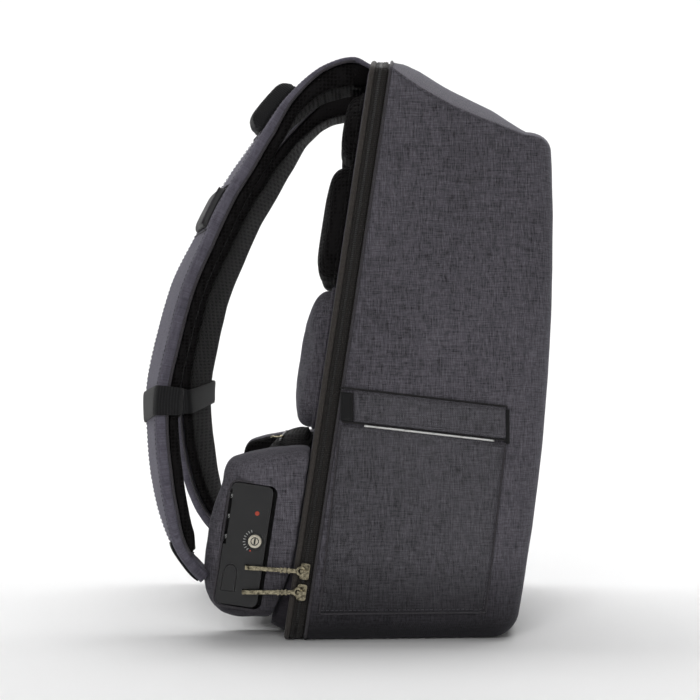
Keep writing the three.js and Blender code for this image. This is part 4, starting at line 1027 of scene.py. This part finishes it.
def slab(section, width, low, high, edge, crown=0.0, sunk=0.0):
    """A rounded slab across the strap, with a crowned outer face and a sunk inner one, and its UVs."""
    half = width / 2
    edge = min(edge, (high - low) / 2)
    flat, top, foot = half - edge, high - edge, low + edge
    end = (high + low) / 2
    out = [(a, high + crown * (1 - (a / half) ** 2)) for a in spread(flat, -flat, SLAB_STEPS)]
    out += arc((-flat, top), edge, 90, 180, 4)[1:-1] + [(-half, end)]
    out += arc((-flat, foot), edge, 180, 270, 4)[1:-1]
    out += [(a, low - sunk * (1 - (a / half) ** 2)) for a in spread(-flat, flat, SLAB_STEPS)]
    out += arc((flat, foot), edge, 270, 360, 4)[1:-1] + [(half, end)]
    out += arc((flat, top), edge, 0, 90, 4)[1:-1]
    return section.loop(out)


def strap_band(first, last, count, shape):
    """Points, faces and UVs of a body along the strap; shape gives a loop for a section and share."""
    rings, uvs = [], []
    for share in spread(first, last, count):
        ring, uv = shape(Section(share), share)
        rings.append(ring)
        uvs += uv
    points, faces = band(rings)
    uvs += [uvs[0], uvs[-1]]
    return points, faces, uvs


def strap_line(first, last, count, across, up):
    """A line along the strap; across and up give its place for a section."""
    sections = [Section(share) for share in spread(first, last, count)]
    return [s.at(across(s), up(s)) for s in sections]


ROOT_DEPTH = [(0.04, 1), (0.075, 0.8), (0.125, 0.2), (0.17, 0)]  # share of the strap, of the root pad
FOOT_TAPER = [(0, 0.4), (0.5, 0.85), (1, 1)]
PAD_START, PAD_END, PAD_RINGS = 0.02, 0.955, 150


def make_straps():
    cloth = lambda s, _: slab(s, s.width, -s.cloth / 2, s.cloth / 2 - 0.3, s.cloth * 0.42, 0.5)
    points, faces, uvs = strap_band(0, 1, 170, cloth)
    for strap in both_sides("strap_cloth", points, faces, STRAP_GREY, "strap_cloth", "strap", uvs):
        crumple(strap, [(0.35, 22, 1), (0.15, 7, 6)])

    def padding(s, share):
        deep = at_row(ROOT_DEPTH, share)[0]
        end = at_row(FOOT_TAPER, (PAD_END - share) / 0.03)[0]
        top = -s.cloth / 2 - 0.15
        depth = lerp(STRAP_PAD, STRAP_ROOT_PAD, deep) * end
        return slab(s, s.width - 5, top - depth, top, STRAP_PAD * 0.45, sunk=0.6)

    points, faces, uvs = strap_band(PAD_START, PAD_END, PAD_RINGS, padding)
    root = len(points) // PAD_RINGS
    for p in points[:root]:
        p.x = back_face_x(p.y, p.z) + 0.4
    for pad in both_sides("strap_padding", points, faces, MESH, "black_mesh", "strap_pad", uvs):
        crumple(pad, [(0.4, 20, 3)])
    rolls, rows = [], []
    for sign in (-1, 1):
        rim = lambda s: sign * (s.width / 2 - 1.0)
        sewn = lambda s: sign * (s.width / 2 - 5)
        rolls.append(tube(strap_line(0.03, 0.96, 150, rim, lambda s: -s.cloth / 2 + 0.3), 1.15))
        row = strap_line(0.06, 0.93, 150, sewn, lambda s: s.cloth / 2 + 0.05)
        rows.append(stitches(row, nearest_face, 3.6, 2.4, 0.3))
    both_sides("strap_roll", *combine(*rolls), EDGE_PIPING, "strap_cloth")
    both_sides("strap_stitch", *combine(*rows), THREAD, "strap_cloth")


FACES = [Section(i / 60) for i in range(61)]


def nearest_face(p):
    """The direction out of the strap at the section nearest to a point."""
    return min(FACES, key=lambda s: (s.middle - p).length_squared).face


ELASTIC_FIRST, ELASTIC_LAST, ELASTIC_RINGS, ELASTIC_WALL = 0.683, 0.73, 10, 1.5


def make_elastic():
    def loop(share, out):
        s = Section(share)
        half = s.cloth / 2
        low = -half - STRAP_PAD - 1.1 - out
        return slab(s, s.width + 1.2 + 2 * out, low, half + 0.5 + out, 3.2 + out, 0.3, 0.3)[0]

    shares = spread(ELASTIC_FIRST, ELASTIC_LAST, ELASTIC_RINGS)
    rings = [loop(share, ELASTIC_WALL - (0.5 if share in (shares[0], shares[-1]) else 0)) for share in shares]
    rings += [loop(share, 0) for share in reversed(shares)]
    points, faces = band(rings, closed_along=True)
    uvs = []
    for r, ring in enumerate(rings):
        row = min(r, len(rings) - 1 - r)
        uvs += [(i * 4.2 * MM, row * 3.1 * MM) for i in range(len(ring))]
    both_sides("strap_keeper", points, faces, ELASTIC, "black_webbing", "strap_elastic", uvs, angle=50)


RIDER_ENDS = [(0, 0.5), (0.3, 0.8), (0.65, 0.95), (1, 1)]  # share of the height near an end
# first and last share of the strap's length, width, rise, edge, taper and number of rings
UPPER_TAB = (0.135, 0.225, 34, 13.6, 3.2, 0.22, 26)
LOWER_TAB = (0.342, 0.412, 38, 4.8, 1.5, 0.06, 26)
FOOT_WEBBING = (0.925, 0.995, 25, 1.8, 0.6, 0.0, 20)
FOLDS = ((0.231, 0.38), (0.418, 0.4), (0.336, 0.34))  # place and reach, as shares of length and width


def rider(first, last, width, rise, edge, taper, count):
    """A soft block on the strap's outer face, which narrows as it rises."""
    shares = spread(first, last, count)

    def shape(s, share):
        i = shares.index(share)
        near = min(i, count - 1 - i) / (count * 0.2)
        height = rise * at_row(RIDER_ENDS, near)[0]
        foot = s.cloth / 2 + 0.2
        top = foot + height
        narrow = width / 2 * (1 - taper)
        flat = narrow - edge
        out = [(width / 2, foot - 0.6), (width / 2, foot + height * 0.3)]
        out += arc((flat, top - edge), edge, 0, 90, 4)
        out += [(a, top + 0.4 * (1 - (a / narrow) ** 2)) for a in spread(flat, -flat, 7)[1:-1]]
        out += arc((-flat, top - edge), edge, 90, 180, 4)
        out += [(-a, b) for a, b in reversed(out[:2])]
        return s.loop(out)

    return strap_band(first, last, count, shape)


def make_tabs():
    points, faces, uvs = rider(*UPPER_TAB)
    both_sides("upper_tab_cloth", points, faces, WEBBING, "black_webbing", "upper_tab", uvs)
    points, faces, uvs = rider(*LOWER_TAB)
    both_sides("lower_tab_plate", points, faces, RUBBER, "black_plastic", "lower_tab", uvs)
    rim = strap_line(0.344, 0.41, 30, lambda s: 17.2, lambda s: s.cloth / 2 + 4.6)
    end = Section(0.3435)
    far = [end.at(a, end.cloth / 2 + 2.9) for a in (-16, -8, 0, 8, 15.5)]
    both_sides("lower_tab_rim", *tube(far + rim, 0.75), EDGE_PIPING, "strap_cloth")
    lips = []
    for share, reach in FOLDS:
        s = Section(share)
        lips.append(tube([s.at(s.width * reach * (1 - k / 6), s.cloth / 2 + 0.2) for k in range(13)], 0.8))
    both_sides("strap_folds", *combine(*lips), EDGE_PIPING, "strap_cloth")
    points, faces, uvs = rider(*FOOT_WEBBING)
    both_sides("strap_foot_webbing", points, faces, WEBBING, "black_webbing", "strap_anchor", uvs)


# Side pockets
def side_place(x, z, out):
    """A point out from the left side of the body."""
    depth = (x - zip_x(z)) / (front_x(z) - EDGE_ROUND - zip_x(z))
    return Vector((x, LEFT * (half_width(z, depth) + SEAM_PROUD + out), z))


MOUTH_BACK_X, MOUTH_FRONT_X, MOUTH_HEIGHT, MOUTH_SLOPE = -47, 79, 167, 0.117
WELT_START, FOOT_Z = -37, 22


def mouth_z(x, above=0):
    """The pocket's slanted mouth, or a line above it."""
    return MOUTH_HEIGHT - MOUTH_SLOPE * (x - MOUTH_BACK_X) + above


def mouth_line(first, last, above):
    """A function of a share along the mouth, for patch."""
    return lambda t: (lerp(first, last, t), mouth_z(lerp(first, last, t), above))


PATCH_EDGE = (0.35, 0.9, 1)  # share of the cloth's height at its rim and inwards


def patch(low, high, cloth, columns, rows, waves=None):
    """A sewn cloth patch on the side: low and high give (x, z) for a share along it."""
    rings = []
    for i in range(columns + 1):
        along = i / columns
        (x0, z0), (x1, z1) = low(along), high(along)
        front, back = [], []
        for j in range(rows + 1):
            t = j / rows
            x, z = lerp(x0, x1, t), lerp(z0, z1, t)
            edge = min(i, columns - i, j, rows - j)
            out = cloth * PATCH_EDGE[min(edge, 2)]
            if waves and edge > 1:
                out += waves(x, z)
            front.append(side_place(x, z, out))
            back.append(side_place(x, z, 0.05))
        rings.append(front + back[::-1])
    return band(rings)


def side_line(first, last, out, count=40):
    """A straight line on the side of the body between two (x, z) places."""
    (x0, z0), (x1, z1) = first, last
    return [side_place(lerp(x0, x1, i / count), lerp(z0, z1, i / count), out) for i in range(count + 1)]


def make_pockets():
    ripple = lambda size, height, seed: (lambda x, z: height * wave(Vector((x, 0, z)), size, seed))
    gathers = lambda x, z: 0.5 * math.sin(z * 2.6)
    for name, low, high, sizes, waves, finish, slot, node in (
        ("welt_cloth", (WELT_START, MOUTH_FRONT_X, 0.4), (WELT_START, MOUTH_FRONT_X, 25), (3, 60, 14),
         ripple(22, 0.35, 3), POCKET_GREY, "grey_cloth", "welt"),
        ("gather_elastic", (MOUTH_BACK_X, -37.4, 0.4), (MOUTH_BACK_X, -37.4, 22), (3, 8, 18),
         gathers, ELASTIC, "black_webbing", "gather"),
        ("strip_tape", (-29, 70, -2.6), (-29, 70, 0), (1.3, 60, 4), None, REFLECTIVE, "reflective", "strip"),
    ):
        cloth = patch(mouth_line(*low), mouth_line(*high), *sizes, waves)
        both_sides(f"pocket_{name}", *cloth, finish, slot, f"pocket_{node}")
    foot = lambda t: (lerp(-63, 63, t), FOOT_Z)
    front = patch(foot, mouth_line(MOUTH_BACK_X, MOUTH_FRONT_X, -2.9), 1.8, 50, 56, ripple(46, 0.7, 8))
    both_sides("pocket_front_cloth", *front, POCKET_GREY, "grey_cloth", "pocket_cloth")
    make_pocket_trim()


def make_pocket_trim():
    out = lambda p: Vector((0, LEFT, 0))
    rows = [
        ((-35, mouth_z(-35, 22.6)), (77, mouth_z(77, 22.6)), 3.1),
        ((-35, mouth_z(-35, 3.4)), (77, mouth_z(77, 3.4)), 3.1),
        ((-44.5, mouth_z(-44.5, -5)), (-60, 25), 1.9),
        ((76.4, mouth_z(76, -5)), (61, 25), 1.9),
        ((-60, 25), (60, 25), 1.9),
    ]
    thread = [stitches(side_line(*row), out) for row in rows]
    both_sides("pocket_stitch", *combine(*thread), THREAD, "grey_cloth")
    tack = []
    for i in range(9):
        x = 70 + i * 0.95
        z = mouth_z(x, -4.2)
        tack.append(tube([side_place(x, z - 1.5, 2.1), side_place(x + 0.35, z + 1.5, 2.1)], 0.32, 6))
    both_sides("pocket_bartack", *combine(*tack), THREAD, "grey_cloth")
    # dark tubes painted as shadow: under the welt's free top edge and along the pocket's mouth
    top = side_line((-47, mouth_z(-47, 25.2)), (80, mouth_z(80, 25.2)), 1.4)
    mouth = side_line((-46, mouth_z(-46, -0.4)), (79, mouth_z(79, -0.4)), 1.5)
    edges = combine(tube(top, 0.8, 6), tube(mouth, 0.7, 6))
    both_sides("pocket_dark_edges", *edges, DARK_THREAD, "grey_cloth")
    # rolled seams round the pocket, in a darker grey that paints the shade along the seams
    left = side_line((-47, mouth_z(-47, -3)), (-62.6, 22.6), 1.0)
    right = side_line((78.6, mouth_z(78, -3)), (62.8, 22.6), 1.0)
    low = side_line((-62, 22.3), (62, 22.3), 1.0)
    seams = combine(*(tube(path, 0.7, 6) for path in (left, right, low)))
    both_sides("pocket_seam_roll", *seams, EDGE_PIPING, "grey_cloth")
    # a black tube painted as the shadow in the gap at the welt's front end
    end_shadow_line = side_line((80.2, mouth_z(80, 23)), (80.2, mouth_z(80, -3)), 0.9)
    both_sides("pocket_end_binding", *tube(end_shadow_line, 1.5), WEBBING, "black_webbing")


# Lock details
def lock_disc(name, x, z, outer, inner, low, high, finish, slot, count=32, body="pack", bevel=0.12):
    """A flat ring or disc on the lock's face; low and high are distances out from the face."""
    edge = high - bevel
    profile = [(outer, low), (outer, edge), (outer - bevel, high), (inner + bevel, high), (inner, edge)]
    profile.append((inner, low))
    rings = []
    for k in range(count):
        turn = 2 * math.pi * k / count
        across, up = math.cos(turn), math.sin(turn)
        rings.append([LOCK @ Vector((x + r * across, -h, z + r * up)) for r, h in profile])
    points, faces = band(rings, closed_along=True)
    return piece(name, points, faces, finish, slot, body=body, angle=35)


def make_lock():
    for node in ("lock_body", "lock_release"):
        finish_node(node, BLACK, 0.5, 3)
    for i in range(3):
        finish_node(f"lock_dial_{i + 1}", BLACK, 0.2, 2)
    finish_node("lock_cylinder", KEY_METAL, 0.25, 3)
    for name in ("upper", "lower"):
        finish_node(f"zip_slider_{name}", PULL_METAL, 0.35, 3)
        finish_node(f"zip_pull_{name}", PULL_METAL, 0.35, 3)
    key = (KEY_X, KEY_Z)
    lock_disc("key_ring", *key, 6.7, 5.5, -0.2, 0.4, GLOSS_BLACK, "black_plastic", 48)
    # painted shade: a thin glossy black ring on the cylinder stands for the shade in its groove, and a black
    # plate for the shade in the keyway
    lock_disc("key_groove_shade", *key, 3.2, 2.5, 0.3, 0.46, GLOSS_BLACK, "key_metal", 36, "cylinder", 0.05)
    slot = round_rectangle(KEY_X - 0.6, KEY_X + 0.6, KEY_Z - 1.9, KEY_Z + 1.9, 0.4, 4)
    piece("keyhole_shade", *prism(slot, -0.48, -0.3), GLOSS_BLACK, "key_metal", body="cylinder", angle=35)
    mark = (RED_MARK, "black_plastic")
    lock_disc("face_mark", 6.1, 24.9, 1.7, 0.01, -0.1, 0.12, *mark, 24, bevel=0.05)
    ticks = []
    for degrees in range(115, 240, 15):
        across, up = math.cos(rad(degrees)), math.sin(rad(degrees))
        ends = [LOCK @ Vector((KEY_X + r * across, -0.06, KEY_Z + r * up)) for r in (7.2, 9)]
        ticks.append(tube(ends, 0.34, 6))
    piece("key_ticks", *combine(*ticks), WHITE_MARK, "black_plastic")
    lock_disc("key_mark", KEY_X - 2.4, KEY_Z - 7.4, 0.65, 0.01, 0.3, 0.42, *mark, 14, bevel=0.04)
    for i, height in enumerate(DIAL_HEIGHTS):
        dial_figures(i, height)


def finish_node(node, finish, width, segments):
    """Gives a solid a material and soft edges, and leaves its mesh as it is."""
    obj = NODES[node]
    obj.data.materials.clear()
    obj.data.materials.append(finish)
    for p in obj.data.polygons:
        p.use_smooth = True
    bevel = obj.modifiers.new("edges", "BEVEL")
    bevel.width = width * MM
    bevel.segments = segments
    bevel.limit_method = "ANGLE"
    bevel.angle_limit = rad(35)
    bevel.harden_normals = True


FIGURE_SIZE, FIGURE_RELIEF, DIAL_RADIUS = 4.4, 0.04, 5.6


def figure_mesh(figure):
    """The flat mesh of one figure, in millimetres."""
    curve = bpy.data.curves.new("figure", "FONT")
    curve.body = str(figure)
    curve.size = FIGURE_SIZE
    curve.extrude = FIGURE_RELIEF
    curve.align_x = "CENTER"
    curve.align_y = "CENTER"
    text = link(bpy.data.objects.new("figure", curve))
    depsgraph = bpy.context.evaluated_depsgraph_get()
    mesh = bpy.data.meshes.new_from_object(text.evaluated_get(depsgraph), depsgraph=depsgraph)
    points = [v.co.copy() for v in mesh.vertices]
    faces = [tuple(p.vertices) for p in mesh.polygons]
    bpy.data.objects.remove(text)
    bpy.data.meshes.remove(mesh)
    return points, faces


def dial_figures(index, height):
    """The figures 0 to 9 round a dial."""
    parts = []
    for figure in range(10):
        flat, faces = figure_mesh(figure)
        points = []
        for p in flat:
            turn = rad(36 * figure) + p.x / DIAL_RADIUS
            r = DIAL_RADIUS + 0.02 + p.z
            place = (DIAL_X + r * math.sin(turn), DIAL_SINK - r * math.cos(turn), height + p.y)
            points.append(LOCK @ Vector(place))
        parts.append((points, faces))
    name = f"dial_figures_{index + 1}"
    piece(name, *combine(*parts), WHITE_MARK, "black_plastic", body=f"dial_{index + 1}", angle=30)


def make_cushion_zip():
    """The zip line on top of the cushion and its small metal pull."""
    up = Vector((0, 0, 1))
    at = Vector((-97, -62, 150.2))
    path = [at + Vector((t, 0, 0.5 * math.sin(t))) for t in (-7, -5.5, -3, 0, 2, 4)]
    body = tube(path, [0.8, 1.7, 1.4, 1.3, 2.1, 1.4], 10, flatten=0.6, normals=[up] * len(path))
    piece("cushion_zip_pull", *body, PULL_METAL, "pull_metal")
    row = [Vector((at.x + 1, y, 149.3 - 3.2 * (abs(y) / 80) ** 4)) for y in range(-74, 75, 3)]
    line = tube(row, 1.1, 6, flatten=0.6, normals=[up] * len(row))
    piece("cushion_zip_line", *line, COIL, "zip_cloth")


# Studio
def area(name, place, target, size, power):
    data = bpy.data.lights.new(name, "AREA")
    data.shape = "RECTANGLE"
    data.size, data.size_y = size
    data.energy = power
    light = link(bpy.data.objects.new(name, data))
    light.location = place
    light.rotation_euler = (Vector(target) - Vector(place)).to_track_quat("-Z", "Y").to_euler()


BEND, WALL_TOP, HALF_FLOOR, FLOOR_FRONT = 0.9, 4.0, 5, -4.0  # metres
WORLD_LIGHT = 0.13


def make_stage():
    """A sheet of pale paper that curves up behind the bag, four lamps and a dim world."""
    profile = [(FLOOR_FRONT, 0.0), (-1, 0.0), (BEND, 0.0)]
    turns = [rad(t) for t in range(10, 91, 10)]
    profile += [(BEND + BEND * math.sin(t), BEND - BEND * math.cos(t)) for t in turns]
    profile.append((2 * BEND, WALL_TOP))
    mesh = bpy.data.meshes.new("floor")
    points = [(x, y, z) for y, z in profile for x in (-HALF_FLOOR, HALF_FLOOR)]
    faces = [(2 * i, 2 * i + 1, 2 * i + 3, 2 * i + 2) for i in range(len(profile) - 1)]
    mesh.from_pydata(points, [], faces)
    floor = link(bpy.data.objects.new("floor", mesh))
    for p in mesh.polygons:
        p.use_smooth = True
    n = Nodes("floor")
    paper = n.noise(n.scaled((300, 300, 300)), detail=2)
    mesh.materials.append(n.finish(linear(244, 244, 244), 0.9, n.bump(paper, 0.0001, 0.2)))
    area("key", (-0.7, -2.5, 1.7), (0, 0, 0.25), (1.0, 1.0), 21)
    area("overhead", (0.5, -0.5, 2.2), (0, 0, 0.2), (1.2, 1.2), 4)
    area("front", (0.5, -2.8, 0.9), (0, 0, 0.25), (1.6, 1.0), 4)
    area("backdrop", (0, 0.5, 2.6), (0, 1.9, 0.3), (3.2, 1.0), 66)
    world = bpy.data.worlds.new("studio")
    world.use_nodes = True
    background = world.node_tree.nodes["Background"]
    background.inputs[0].default_value = (1, 1, 1, 1)
    background.inputs[1].default_value = WORLD_LIGHT
    bpy.context.scene.world = world


make_body()
make_body_seams()
make_zip()
make_back_panel()
make_pads()
make_cushion()
make_cushion_zip()
make_wings()
make_straps()
make_elastic()
make_tabs()
make_pockets()
make_lock()
make_stage()
bpy.context.scene.view_settings.view_transform = "Standard"
